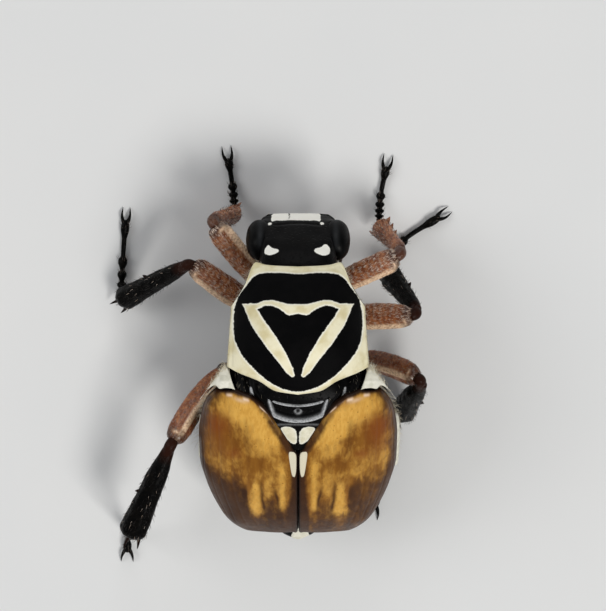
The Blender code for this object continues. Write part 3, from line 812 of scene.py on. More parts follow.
def trunk_ring(a):
    """The trunk's outline at a, as points from the middle of the back round to the belly."""
    width = trunk_half_width(a)
    low, rise = margin_height(a), crown_height(a) - margin_height(a)
    end = float(step(a, 4.75, 5.05))
    under = mix(0.22, 0.0, end)
    inner = mix(width - 0.16, 0.92 * width, end)
    swell = float(segment_edge(a, 0.06))
    bottom = belly_depth(a) - swell
    tuck = flank_tuck(a)
    back = [
        (x, low + rise * math.sqrt(max(1 - (x / width) ** 2, 0)) - under)
        for x in (0.0, 0.4 * inner, 0.75 * inner)
    ]
    side = [
        (inner, low + mix(-0.08, 0.20, end)),
        (width - 0.06 + swell, low - 0.12),
        (tuck * width + 0.02 + swell, low - 0.45),
        (tuck * width - 0.06 + swell, mix(low, bottom, 0.5)),
        (0.70 * tuck * width + swell, mix(low, bottom, 0.80)),
        (0.40 * tuck * width, mix(low, bottom, 0.97)),
        (0.0, bottom),
    ]
    half = np.array(back + side)
    return np.concatenate([half, (half * (-1, 1))[-2:0:-1]])


# From each hind and middle coxa to the leg's hip, in the ground frame
HIP_LOBES = (
    ((0.60, 2.88, 1.32), (1.25, 2.80, 1.20), (1.77, 2.63, 0.92)),
    ((-0.60, 2.80, 1.32), (-1.10, 2.60, 1.20), (-1.55, 2.32, 0.96)),
    ((0.52, 1.38, 2.05), (0.70, 1.16, 1.86), (0.88, 0.98, 1.68)),
    ((-0.52, 1.38, 2.05), (-0.70, 1.26, 1.88), (-0.88, 1.14, 1.72)),
)
HIP_LOBE_RADII = ((0, 0.26), (0.4, 0.33), (0.8, 0.28), (0.95, 0.215), (1, 0.16))


def trunk():
    """One skin for the middle body and abdomen, with its segments, coxae and cream side patches."""
    places = np.concatenate([np.linspace(-0.62, 2.3, 60), np.linspace(2.32, 5.28, 150)])
    sides = 128
    rings = []
    for a in places:
        ring = trunk_ring(a)
        closed = np.concatenate([ring[-1:], ring, ring[:2]])
        t = (1 + np.arange(sides) / sides * len(ring)) / (len(closed) - 1)
        points = spline(closed, t)
        rings.append(stack(points[:, 0], a, points[:, 1]))
    rings = np.array(rings)
    for index, shrink in ((0, 0.55), (1, 0.85), (-1, 0.35), (-2, 0.7), (-3, 0.88)):
        middle = rings[index].mean(axis=0)
        rings[index] = middle + shrink * (rings[index] - middle)
    x, a, h = np.moveaxis(rings, -1, 0)
    part = ((a - ABDOMEN_START) / SEGMENT_LENGTH) % 1.0
    low = margin_height(a)
    # Cream patch on each abdominal segment's side, two on the tip, and the pale side plates
    patch = np.minimum(0.26 - abs(part - 0.5) * SEGMENT_LENGTH, 0.22 - abs(h - (low - 0.42)))
    patch = np.where((a > ABDOMEN_START) & (a < 4.6), patch, -1)
    middle_spot = 0.23 - np.hypot(x + 0.05, (a - 5.14) * 0.6)
    tip = np.maximum(middle_spot, 0.09 - np.hypot(abs(x) - 0.62, (a - 4.98) * 0.7))
    tip = np.where(h > belly_depth(a) + 0.5, tip, -1)
    ash = 0.4 * hill(part, 0.55, 0.30) * (a > ABDOMEN_START) * smooth(h, (-3.2, 1), (-1.6, 0.2))
    form = Form()
    form.tube(to_world(HIND, rings), cream=np.maximum(patch, tip), ash=ash, chalk=0.8)
    for side in (1, -1):
        form.ball(HIND, (side * 0.55, 0.22, -2.82), (0.40, 0.40, 0.44), cream=-1)
        form.ball(HIND, (side * 0.70, 1.80, -2.95), (0.74, 0.32, 0.38), 40, cream=-1)
    for path in HIP_LOBES:
        form.stem(GROUND, path, HIP_LOBE_RADII, 40, 40, cream=-1)
    form.build("trunk_skin", SHINY, ["mesothorax", "metathorax", "abdomen"], "black_cuticle")
    return rings


def pillow(centre, radii, narrow, sides=56, rings=44):
    """A rounded plate, whose width changes by narrow from its lower to its upper end."""
    polar, angle = globe(rings, sides, 0.03)
    across = boxed(np.cos(angle), 0.8)
    up = boxed(np.cos(polar), 0.85) + 0 * angle
    wide = np.sin(polar) ** 0.7 * (1 - narrow * up)
    wave = 1 + 0.04 * np.sin(3 * angle + 2 * polar)
    local = stack(wide * across * wave, np.sin(polar) * np.sin(angle) * wave, up)
    return np.asarray(centre) + local * np.asarray(radii)


# Front and rear edge of the plate before an elytron's shoulder, as (x, how far back it shows)
PLATE_FRONT = (
    (1.56, -0.64), (1.60, -0.79), (1.706, -0.99), (1.85, -0.79), (2.00, -0.59), (2.15, -0.38),
    (2.30, -0.18),
)
PLATE_REAR = (
    (1.47, -0.40), (1.58, -0.43), (1.70, -0.44), (1.83, -0.42), (1.94, -0.50), (2.08, -0.44),
    (2.31, -0.15),
)


def side_plates():
    """Pale plates: one before each elytron's shoulder, one along the side of the metathorax."""
    front, rear = Form(), Form()
    u = column(70)
    v = row(40)
    stations = np.linspace(0, 1, len(PLATE_FRONT))
    edges = [
        [smooth(u, *zip(stations, values)) for values in zip(*outline)]
        for outline in (PLATE_FRONT, PLATE_REAR)
    ]
    x = mix(edges[0][0], edges[1][0], v)
    back = mix(edges[0][1], edges[1][1], v)
    lift = smooth(x, (1.45, -0.20), (1.8, -0.25), (2.0, -0.38), (2.31, -0.74))
    lift = lift - 0.22 * fade(back, -1, -0.6)
    lift = lift + 0.015 * np.sin(17 * x) * np.sin(13 * back)
    round_off = np.sqrt(np.clip(1 - (2 * v - 1) ** 4, 0.02, 1))
    round_off = round_off * np.sqrt(np.clip(1 - (2 * u - 1) ** 8, 0.02, 1))
    outer, inner = (
        stack(x, SEEN_ALONG * back - 0.643 * depth, SEEN_UP * back + SEEN_ALONG * depth)
        for depth in (lift + 0.06 * round_off, lift - 0.09 * round_off)
    )
    block = mix(inner, inner.mean(axis=(0, 1)), 0.34) - (0, 0, 0.02)
    root = stack(mix(x, 1.15, 0.5), mix(block[..., 1], -0.25, 0.3), block[..., 2] - 0.50)
    grids = []
    for side in (1, -1):
        flip = np.array([side, 1, 1])
        grids.append(to_world(HIND, outer * flip))
        front.shell(grids[-1], to_world(HIND, inner * flip), cream=0.1, chalk=0.9)
        front.shell(to_world(HIND, block * flip), to_world(HIND, root * flip), cream=-1)
        plate = pillow((0, 0, 0), (0.10, 0.30, 0.78), 0.1)[..., [0, 2, 1]]
        plate = (plate + (2.27 if side > 0 else 2.33, 2.30, -1.45)) * (side, 1, 1)
        joint = abs(plate[..., 1] - 2.66 - 0.25 * (plate[..., 2] + 1.45)) - 0.018
        rear.tube(to_world(HIND, plate), cream=np.minimum(0.2, joint), ash=0.3, chalk=0.9)
    front.build("side_plates", VELVET, ["mesothorax"], "black_cuticle")
    rear.build("flank_plates", VELVET, ["metathorax"], "black_cuticle")
    return grids


SCUTELLUM_PATCH = (
    (0.38, 0.64), (0.165, 0.64), (0.045, 0.775), (0.033, 1.08), (0.11, 1.14), (0.265, 0.975), (0.37, 0.76),
)


def mesonotum():
    """The stepped back of the mesothorax, with pale bowed ridges, partly painted highlight, and the scutellum
    with two patches.
    """
    v = row(220)
    u = np.linspace(-1, 1, 190)[:, None]
    a = mix(-0.55, SCUTELLUM_TIP + 0.02, v) + 0 * u
    half = smooth(
        a, (-0.55, 1.55), (-0.25, 1.45), (0.0, 1.25), (0.24, 0.95), (SCUTELLUM_BASE, 0.60), (1.36, 0.06),
    )
    x = u * half
    top = smooth(a, (-0.55, -0.52), (-0.12, -0.30), (0.2, -0.10), (0.43, 0.0), (1.3, 0.05))
    # The ridges: one behind the other, joined by a strut at each side, round a small boss
    front_bow, rear_bow = a + 0.24 * x**2, a + 0.43 * x**2
    front_ridge = hill(front_bow, 0.09, 0.032)
    rear_ridge = hill(rear_bow, 0.43, 0.042)
    across = abs(x)
    within = fade(across, 0.54, 0.62)
    strut = hill(across + 0.39 * a, 0.68, 0.030) * band(a, -0.06, 0.0, 0.28, 0.34)
    boss = hill(np.hypot(x, a - 0.22), 0.0, 0.07)
    outside = step(across, 0.66, 0.76)
    pleat = np.sin(24 * across + 9 * a + 1.5 * np.sin(7 * a))
    pleats = 0.035 * pleat * outside
    well = step(front_bow, 0.10, 0.16) * fade(rear_bow, 0.33, 0.41)
    face = step(a, 0.48, 0.62) * fade(abs(u), 0.75, 0.95)
    h = top - smooth(a, (-0.5, 0.16), (-0.15, 0.02)) * x**2
    h = h + 0.05 * within * (front_ridge + 1.2 * rear_ridge) + 0.04 * strut
    h = h - 0.07 * well * within + 0.05 * boss + pleats - 0.025 * face
    h = h - 0.10 * step(across, 0.9, 1.5) * fade(a, -0.4, -0.2)
    outer = stack(x, a, h)
    inner = stack(x * 0.92, a, np.minimum(h, -0.1) - 0.4)
    cream = outline_depth(across, a, SCUTELLUM_PATCH)
    broken = smooth(across, (0.06, 0.45), (0.2, 1.0))
    thin_front = hill(front_bow, 0.09, 0.024)
    thin_rear = hill(rear_bow, 0.425, 0.030)
    # Grey along the bowed ridges: pale hair colour, and partly painted highlight on their crests
    ash = 1.9 * within * (thin_front * broken + thin_rear) + 1.5 * strut
    strokes = np.maximum(
        stroke_depth(across, a, (1.10, -0.20, 0.020), (1.06, -0.05, 0.030)),
        stroke_depth(across, a, (0.83, 0.10, 0.020), (0.78, 0.21, 0.030)),
    )
    ash += 1.3 * step(strokes, -0.015, 0.01)
    ash += 0.5 * hill(np.hypot(x, a - 0.22), 0.07, 0.03)
    ash += 0.25 * within * hill(a, 0.55, 0.03)
    form = Form()
    world = to_world(HIND, outer)
    form.shell(world, to_world(HIND, inner), cream=cream, ash=np.clip(ash, 0, 1), chalk=0.5)
    form.build("mesonotum", SHINY, ["mesothorax"], "black_cuticle")
    return world


# Prothorax, in the fore frame: x to the left, b to the rear, k up

def pronotum_surface(u, v):
    front = smooth(abs(u), (0, 0.10), (0.45, 0.06), (0.61, 0.0), (0.79, 0.54), (1.0, 1.05))
    rear = smooth(abs(u), (0, 3.10), (0.3, 3.02), (0.55, 2.78), (0.85, 2.58), (1.0, 2.45))
    b = mix(front, rear, v)
    half = smooth(b, (0, 1.62), (1.05, 1.58), (1.6, 1.61), (2.2, 1.65), (3.1, 1.69))
    arch = smooth(b, (0, -0.42), (0.5, 0.05), (1.2, 0.42), (1.9, 0.46), (2.6, 0.24), (3.1, 0.0))
    drop = smooth(b, (0, 0.55), (1.2, 0.95), (2.4, 0.75), (3.1, 0.55))
    return stack(u * half, b, arch - drop * abs(u) ** 2.6)


# Half of the black field's outline and the strokes of the delta, as (x, b) in millimetres
BLACK_FIELD = (
    (0.0, 0.294), (0.35, 0.262), (0.70, 0.255), (0.95, 0.30), (1.08, 0.385), (1.17, 0.50), (1.325, 0.70),
    (1.45, 0.92), (1.505, 1.2), (1.51, 1.55), (1.46, 1.85), (1.30, 2.17), (1.065, 2.45), (0.80, 2.70),
    (0.53, 2.88), (0.28, 2.98), (0.0, 3.02),
)
DELTA_BAR = (
    (0.0, 1.097, 0.112), (0.20, 1.112, 0.126), (0.30, 1.066, 0.098), (0.43, 1.01, 0.078),
    (0.60, 0.957, 0.066), (0.78, 0.963, 0.062), (0.95, 1.035, 0.066), (1.10, 1.06, 0.09),
)
DELTA_CORNER = ((1.29, 0.985, 0.015), (1.12, 1.085, 0.115))
DELTA_ARM = (
    (1.10, 1.10, 0.135), (0.945, 1.40, 0.155), (0.667, 1.80, 0.165), (0.387, 2.20, 0.135), (0.21, 2.50, 0.10),
    (0.128, 2.635, 0.05),
)


def pronotum_cream(x, b):
    across = abs(x)
    field = outline_depth(x, b, both_halves(BLACK_FIELD), 4)
    delta = np.maximum(stroke_depth(across, b, *DELTA_BAR), stroke_depth(across, b, *DELTA_ARM))
    delta = np.maximum(delta, stroke_depth(across, b, *DELTA_CORNER))
    return np.maximum(-field, delta)


def prothorax():
    u = np.linspace(-1, 1, 228)[:, None]
    v = row(205)
    top = pronotum_surface(u, v)
    normals = grid_normals(top, (0, 1.5, -3))
    x, b = top[..., 0], top[..., 1]
    cream = pronotum_cream(x, b)
    to_edge = np.minimum((1 - abs(u)) * 1.6 + 0 * v, np.minimum(v, 1 - v) * 2.6 + 0 * u)
    relief = 0.012 * step(cream, -0.02, 0.02) - 0.03 * (1 - step(to_edge, 0, 0.05))
    relief = relief - 0.014 * hill(to_edge, 0.10, 0.04) + 0.006 * np.sin(3.1 * x + 1.3) * np.sin(2.7 * b)
    outer = top + relief[..., None] * normals
    rim = np.minimum(np.minimum(1.0, 3.2 * (1 - abs(u))), np.minimum(6 * v, 3.5 * (1 - v)))
    deep = smooth(v, (0, 1.5), (0.3, 2.2), (0.6, 2.2), (1, 1.2)) * (1 - 0.55 * abs(u) ** 1.5)
    depth = PRONOTUM_EDGE * 0.6 + rim * deep
    inner = stack(x * (1 - 0.22 * rim), mix(1.3, b, 1 - 0.25 * rim), top[..., 2] - depth)
    form = Form()
    form.shell(to_world(FORE, outer), to_world(FORE, inner), cream=(cream, -0.05))
    form.build("pronotum", VELVET, ["prothorax"], "black_cuticle")
    coxae = Form()
    for side in (1, -1):
        coxae.ball(FORE, (side * 0.52, 0.85, -2.0), (0.38, 0.44, 0.54), 40, 28, cream=-1)
    coxae.build("front_coxae", SHINY, ["prothorax"], "black_cuticle")
    return to_world(FORE, outer), to_world(FORE, inner)


# Head, in its own frame: x to the left, f to the rear, g out of the face

def head_sizes(f):
    half = smooth(
        f, (-1.85, 0.68), (-1.78, 0.78), (-1.6, 0.90), (-1.45, 0.93), (-1.2, 0.86), (-0.8, 0.86),
        (-0.3, 0.92), (0.1, 0.80), (0.32, 0.45),
    )
    top = smooth(f, (-1.85, -0.30), (-1.6, -0.16), (-1.1, 0.02), (-0.5, 0.08), (0, 0.0), (0.32, -0.2))
    low = smooth(f, (-1.85, -0.44), (-1.6, -0.55), (-1.2, -0.85), (-0.7, -1.05), (0, -0.95), (0.32, -0.6))
    return half, top, low


CLYPEUS_BAR = (
    (0.0, -1.40), (0.16, -1.42), (0.30, -1.39), (0.45, -1.41), (0.57, -1.37), (0.58, -1.60), (0.55, -1.81),
    (0.30, -1.83), (0.0, -1.82),
)
MARK_SHIFT = 0.05             # the photograph's head is turned a little, so its marks sit to the left
NAPE_SPOT = (
    (0.43, -0.25), (0.42, -0.34), (0.56, -0.42), (0.68, -0.53), (0.78, -0.42), (0.74, -0.26), (0.60, -0.19),
)


def head():
    along = column(150)
    angle = around(220)[None]
    f = mix(0.32, -HEAD_LENGTH, along) + 0 * angle
    half, top, low = head_sizes(f)
    ending = np.minimum(f + HEAD_LENGTH, 0.32 - f) + 0.004
    shrink = np.sqrt(np.clip(1 - np.maximum(1 - ending / 0.07, 0) ** 2, 0.05, 1))
    beside_eye = band(f, -1.6, -1.35, -0.7, -0.4)
    x = half * boxed(np.cos(angle), mix(0.62, 0.42, beside_eye))
    rise = boxed(np.sin(angle), mix(0.68, 0.50, beside_eye))
    middle = 0.5 * (low + top)
    x, g = x * mix(1, shrink, 0.25), middle + 0.5 * (top - low) * rise * shrink
    upper = step(rise, 0.2, 0.6)
    across = abs(x)
    # Relief: the clypeus's raised rim, the groove behind it, and a faint keel down the face
    rim = hill(f, -1.82, 0.03) + hill(across, half - 0.03, 0.03) * fade(f, -1.6, -1.3)
    groove = 0.022 * hill(f + 0.12 * (1 - across), -1.15, 0.05) * fade(across, 0.5, 0.6)
    g = g + upper * (0.03 * rim - groove)
    g = g - upper * 0.03 * hill(across, 0.42, 0.16) * hill(f, -0.85, 0.3)
    g = g + upper * 0.05 * hill(across, 0.80, 0.07) * beside_eye
    bar = outline_depth(x - MARK_SHIFT, f, both_halves(CLYPEUS_BAR), 4)
    bar = np.minimum(bar, abs(x - 0.21) - 0.016)
    spots = outline_depth(abs(x - 0.5 * MARK_SHIFT), f, NAPE_SPOT) - 0.022 * (x > 0)
    dots = 0.044 - np.hypot(abs(x - MARK_SHIFT) - 0.615, 0.8 * (f + 1.27))
    cream = np.where(upper > 0.3, np.maximum(np.maximum(bar, spots), dots), -1)
    rings = stack(x, f, g)
    form = Form()
    form.tube(to_world(HEAD, rings), cream=cream, chalk=1.0)
    form.build("head_skin", SHINY, ["head"], "black_cuticle")
    mouthparts()
    return to_world(HEAD, rings)


PALP_BEADS = (
    (0, 0.06), (0.16, 0.085), (0.20, 0.045), (0.44, 0.085), (0.48, 0.045), (0.66, 0.08), (0.70, 0.04),
    (0.88, 0.09), (1, 0.03),
)


def mouthparts():
    """Upper lip, mandibles and the two pairs of jointed palps."""
    form = Form()
    form.ball(HEAD, (0, -1.64, -0.52), (0.36, 0.18, 0.11), 40, 24)
    for side in (1, -1):
        form.ball(HEAD, (side * 0.32, -1.44, -0.68), (0.18, 0.30, 0.17), 32, 20)
        palp = [(side * 0.34, -1.05, -0.80), (side * 0.42, -1.36, -0.98), (side * 0.38, -1.68, -1.02)]
        form.stem(HEAD, palp, PALP_BEADS, 20, 60)
        lip = [(side * 0.12, -1.12, -0.90), (side * 0.15, -1.35, -1.04), (side * 0.13, -1.56, -1.06)]
        form.stem(HEAD, lip, [(place, 0.7 * size) for place, size in PALP_BEADS], 16, 48)
    form.build("mouthparts", HORN, ["head"], "black_cuticle")


def eye(side, word):
    polar, angle = globe(64, 96)
    wide = np.sin(polar) ** 0.8
    local = stack(wide * np.cos(angle), boxed(np.cos(polar), 0.9), wide * np.sin(angle))
    reach = 1 + 0.05 * smooth(local[..., 0] * side, (0, 0), (0.8, 1))
    points = np.array([side * EYE_PLACE[0], EYE_PLACE[1] - 0.02, EYE_PLACE[2] - 0.03])
    points = points + local * np.array(EYE_RADII) * reach[..., None]
    # Painted reflection: a grey band down the eye's upper side
    sheen = hill(local[..., 0] * side, 0.02, 0.22) * smooth(local[..., 2], (0.1, 0), (0.7, 1))
    form = Form()
    form.tube(to_world(HEAD, points), sheen=sheen)
    form.build("eye_skin_" + word, EYE, ["eye_" + word], "eye")


def antenna(side, word):
    """A thick first joint, a beaded stalk and a club of three leaves."""
    path = [
        (side * 0.80, -1.60, -0.52), (side * 0.91, -1.72, -0.76), (side * 0.94, -1.70, -0.98),
        (side * 0.92, -1.60, -1.18),
    ]
    beads = [(0, 0.05), (0.15, 0.11), (0.32, 0.12), (0.37, 0.055), (0.43, 0.085), (0.48, 0.05)]
    for joint in range(5):
        start = 0.48 + 0.10 * joint
        beads += [(start + 0.06, 0.075), (start + 0.10, 0.045)]
    form = Form()
    form.stem(HEAD, path, [*beads, (1.0, 0.08)], 24, 110)
    for leaf in (-1, 0, 1):
        local = sphere(36, 32, 0.03)
        bowed = local * np.array([0.052, 0.16, 0.33]) + stack(0.03 * leaf * local[..., 2] ** 2, 0, 0)
        form.tube(to_world(HEAD, bowed + np.array([side * (0.91 + 0.105 * leaf), -1.53, -1.38])))
    form.build("antenna_skin_" + word, HORN, ["antenna_" + word], "brown_cuticle")


# Legs, in the ground frame

def spike(form, root, tip, thick, bend, **values):
    """A tapered, rounded spike with a sunk root."""
    root, tip = np.array(root, float), np.array(tip, float)
    middle = 0.5 * (root + tip) + np.array(bend, float)
    radii = [(0, 0.9 * thick), (0.15, thick), (0.55, 0.62 * thick), (0.85, 0.30 * thick), (1, 0.06 * thick)]
    form.stem(GROUND, [root, middle, tip], radii, 14, 18, **values)


# Each leg: hip, knee, ankle and the path of its tarsus
LEGS = {
    "front_left": (
        (0.78, 0.22, 1.90), (1.97, -1.31, 2.20), (1.52, -1.16, 0.48),
        [(1.53, -1.34, 0.19), (1.58, -1.78, 0.15), (1.68, -2.45, 0.12)],
    ),
    "front_right": (
        (-0.82, 0.26, 1.90), (-2.35, -0.55, 2.20), (-1.94, -0.86, 0.48),
        [(-1.955, -1.13, 0.175), (-1.99, -1.55, 0.15), (-2.12, -2.25, 0.12)],
    ),
    "middle_left": (
        (0.90, 0.95, 1.62), (2.50, -0.32, 2.10), (4.28, 1.00, 0.42),
        [(4.28, 0.90, 0.20), (4.24, 0.08, 0.15), (4.16, -0.93, 0.12)],
    ),
    "middle_right": (
        (-0.90, 1.12, 1.66), (-2.70, 0.85, 2.40), (-2.20, 0.34, 0.48),
        [(-2.30, 0.06, 0.175), (-2.55, -0.42, 0.15), (-3.42, -1.02, 0.12)],
    ),
    "hind_left": (
        (1.78, 2.62, 0.88), (2.99, 3.94, 2.40), (4.05, 6.52, 1.80),
        [(4.09, 6.64, 1.46), (4.14, 6.80, 0.80), (4.18, 6.98, 0.26), (4.20, 7.46, 0.12)],
    ),
    "hind_right": (
        (-1.55, 2.30, 0.92), (-2.83, 2.35, 2.40), (-2.48, 3.85, 0.42),
        [(-2.46, 3.92, 0.22), (-2.22, 4.85, 0.15), (-1.86, 6.36, 0.12)],
    ),
}
# Teeth on a tibia's outer edge: place along it, reach and thickness
FRONT_TEETH = ((0.45, 0.05, 0.08), (0.66, 0.10, 0.10), (0.86, 0.15, 0.12))
MIDDLE_AND_HIND_TEETH = ((0.50, 0.055, 0.12),)
# Femora whose keel shows on the edge towards the head
HEADWARD_KEELS = ("front_left_femur",)
FEMUR_RADII = {"front": 0.28, "middle": 0.30, "hind": 0.28}
TIBIA_TIP_RADII = {"front": 0.25, "middle": 0.29, "hind": 0.34}
CLAW_SPREADS = {"front": 0.11, "middle": 0.085, "hind": 0.15}
# Ends of the five segments of a tarsus, along its path
TARSUS_ENDS = (0.0, 0.09, 0.21, 0.36, 0.54, 1.0)


def femur(name, hip, knee, thick, coat):
    """A flattened thigh with a keel along its rear edge and rows of silver hairs across it."""
    hip, knee = np.array(hip), np.array(knee)
    sign = math.copysign(1, knee[0])
    hind = name.startswith("hind")
    radii = [
        (0, 0.13), (0.06, 0.20), (0.2, 0.255), (0.5, thick), (0.8, 0.27), (0.94, 0.235), (0.985, 0.18),
        (1, 0.12),
    ]
    middle = 0.5 * (hip + knee) + (0.07 * sign, -0.05, 0.04)
    edge = -sign if name in HEADWARD_KEELS else sign
    rear = math.pi if edge > 0 else 0.0
    lift = 1.35 if hind else 0.50
    keel_turn, groove_turn = rear - lift * edge, rear - (lift + 0.62) * edge

    def swell(along, angle):
        boxy = 0.05 * np.cos(4 * (angle - rear))
        keel = 0.12 * np.exp((np.cos(angle - keel_turn) - 1) / 0.05)
        groove = -0.09 * np.exp((np.cos(angle - groove_turn) - 1) / 0.03)
        dent = 0.015 * np.sin(9 * along + 2 * angle) + 0.01 * np.sin(31 * along + 5 * angle)
        return 1 + (boxy + keel + groove) * smooth(along, (0.05, 0), (0.2, 1), (0.85, 1), (1, 0.2)) + dent

    rings, along, angle = limb([hip, middle, knee], radii, 0.85, 72, 130, swell)
    wide = 0.30 if hind else 0.48
    off_keel = abs((angle - keel_turn + math.pi) % (2 * math.pi) - math.pi)
    # Painted highlight along the keel, and a small spot of it by the knee
    rim = smooth(off_keel, (0.7 * wide, 1), (1.15 * wide, 0))[None]
    rim = rim * step(along, 0.05, 0.2)[:, None]
    spot = hill(along, 0.93, 0.025)[:, None] * np.exp((np.cos(angle[None] - groove_turn) - 1) / 0.10)
    dusk = smooth(along, (0.04, 1), (0.12, 0), (0.82, 0), (0.94, 0.85))[:, None] * (1 - spot)
    form = Form()
    world = to_world(GROUND, rings)
    form.tube(world, rim=np.maximum(rim, spot), knee=dusk)
    form.ball(GROUND, hip, (0.20, 0.20, 0.20), 28, 20, knee=1.0)
    form.build(name + "_skin", BROWN_LEG, [name], "brown_cuticle")
    lie = unit(knee - hip)
    upper = smooth(np.sin(angle), (-0.6, 0.1), (0.2, 1))[None] * smooth(along, (0.1, 0.2), (0.3, 1))[:, None]
    upper = upper * smooth(off_keel, (0.9 * wide, 0.08), (1.4 * wide, 1))[None]
    bands = 0.2 + hill((along * 13) % 1, 0.5, 0.2)[:, None]
    inside = to_world(GROUND, [middle])[0]
    count, tone = (300, 0.4) if hind else (580, 1.0)
    cell = (0.02, 0.02, 0.44, 0.44)
    coat.grow(world, inside, lie, count, 0.085, 0.0044, 0.18, upper * bands, cell, True, tone)


def tibia(name, hip, knee, ankle, thick, material, slot, coat):
    """A ridged shin, wider to its rounded end, with teeth on its outer edge, two spurs and bristles."""
    hip, knee, ankle = np.array(hip), np.array(knee), np.array(ankle)
    femur_axis, axis = unit(knee - hip), unit(ankle - knee)
    lead = 0.4 if axis @ femur_axis > 0 else 0.8
    start = knee + unit(axis + lead * femur_axis) * 0.22
    radii = [
        (0, 0.14), (0.12, 0.185), (0.3, 0.74 * thick), (0.55, 0.82 * thick), (0.8, 0.96 * thick),
        (0.92, thick), (0.97, 0.86 * thick), (1, 0.55 * thick),
    ]

    def swell(along, angle):
        ridges = 0.030 * np.cos(7 * angle + 0.6) * step(along, 0.1, 0.3)
        lump = 0.012 * np.sin(23 * along + 3 * angle) + 0.012 * np.sin(41 * along - 4 * angle)
        return 1 + ridges + lump

    rings, along, angle = limb([start, mix(start, ankle, 0.5), ankle], radii, 0.78, 56, 130, swell)
    form = Form()
    world = to_world(GROUND, rings)
    # Painted highlight round the tibia's end
    apex = 0.6 * hill(along, 0.985, 0.012)[:, None] + np.zeros(len(angle))
    dusk = smooth(along, (0, 0.8), (0.15, 0))[:, None] + np.zeros(len(angle))
    form.tube(world, rim=apex, knee=dusk)
    bend = [knee - femur_axis * 0.04, 0.5 * (knee + start) + femur_axis * 0.03, mix(start, ankle, 0.06)]
    form.stem(GROUND, bend, [(0, 0.13), (0.5, 0.145), (1, 0.13)], 32, 30, knee=0.8)
    side = unit(np.cross(axis, (0.0, 0.0, 1.0)))
    outward = side if (side[0] > 0) == (knee[0] > 0) else -side
    for turn, reach in ((0.10, 0.40), (-0.55, 0.28)):
        sunk = ankle - axis * 0.10 + outward * turn * 0.30
        tip = ankle + axis * reach + outward * turn * 0.50
        tip[2] = max(tip[2], 0.03)
        spike(form, sunk, tip, 0.055, outward * turn * 0.03, knee=0.3)
    front = name.startswith("front")
    for place, reach, wide in FRONT_TEETH if front else MIDDLE_AND_HIND_TEETH:
        foot = mix(start, ankle, place)
        tip = foot + outward * (0.85 * thick + reach) + axis * 0.10
        spike(form, foot, tip, wide, axis * -0.02, knee=0.4)
    form.build(name + "_skin", material, [name], slot)
    inside = to_world(GROUND, [mix(knee, ankle, 0.5)])[0]
    spread = smooth(along, (0.1, 0.1), (0.5, 1))[:, None]
    coat.grow(world, inside, axis, 170, 0.13, 0.005, 0.45, spread, (0.52, 0.02, 0.2, 0.44), True, 0.0)
    coat.grow(world, inside, axis, 36, 0.11, 0.004, 0.4, spread, (0.74, 0.02, 0.2, 0.44), True, 0.6)
    if front:
        coat.grow(world, inside, axis, 160, 0.09, 0.004, 0.3, spread, (0.52, 0.02, 0.2, 0.44), True)


def tarsus(name, ankle, path, spread, coat):
    """Four short segments with rounded ends, a long one with a thin neck, and a pair of curved claws."""
    path = [np.array(p, float) for p in path]
    path[0] = mix(path[0], np.array(ankle), 0.45)
    for point in path[1:]:
        if point[2] < 0.2:
            point[2] = FOOT_HEIGHT
    form = Form()
    stalk = [ankle, 0.5 * (path[0] + ankle), path[0]]
    form.stem(GROUND, stalk, [(0, 0.075), (1, 0.055)], 20, 12)
    for index, (start, end) in enumerate(zip(TARSUS_ENDS, TARSUS_ENDS[1:])):
        length = end - start
        beads = ((0, 0.05), (0.25, 0.068), (0.66, 0.112), (0.82, 0.108), (1.12, 0.045))
        if index == 4:
            beads = ((0, 0.05), (0.15, 0.058), (0.5, 0.062), (0.76, 0.104), (0.86, 0.100), (1, 0.055))
        radii = [(start + place * length, size) for place, size in beads]
        rings, along, angle = limb(path, radii, 0.92, 28, 34, span=(start, min(radii[-1][0], 1)))
        rings[..., 2] = np.maximum(rings[..., 2], LEAST_HEIGHT)
        world = to_world(GROUND, rings)
        form.tube(world)
        inside = world.mean(axis=(0, 1))
        lie = unit(spline(path, end) - spline(path, start))
        ends = step((along - start) / length, 0.5, 0.8)[:, None]
        cell = (0.02 + 0.19 * index, 0.52, 0.17, 0.44)
        coat.grow(world, inside, lie, 14, 0.10, 0.005, 0.7, ends, cell, True, 0.15)
    tip = path[-1]
    ahead = unit(tip - spline(path, 0.9))
    side = unit(np.cross(ahead, (0.0, 0.0, 1.0)))
    for turn in (1, -1):
        root = tip - ahead * 0.08 + side * turn * 0.045
        end = tip + ahead * 0.30 + side * turn * spread
        root[2], end[2] = 0.11, 0.022
        spike(form, root, end, 0.045, side * turn * 0.030 + np.array([0, 0, 0.05]))
    form.build(name + "_skin", BLACK_LEG, [name], "black_leg")


def leg(index, name, hip, knee, ankle, path):
    kind = name.split("_")[0]
    front = kind == "front"
    coat = Coat(40 + index)
    femur(name + "_femur", hip, knee, FEMUR_RADII[kind], coat)
    tibia(
        name + "_tibia", hip, knee, ankle, TIBIA_TIP_RADII[kind], BROWN_LEG if front else BLACK_LEG,
        "brown_cuticle" if front else "black_leg", coat,
    )
    tarsus(name + "_tarsus", ankle, path, CLAW_SPREADS[kind], coat)
    coat.build(name + "_hairs", SILVER_HAIR, [name + "_femur"], "brown_cuticle")


# Hairs of the body

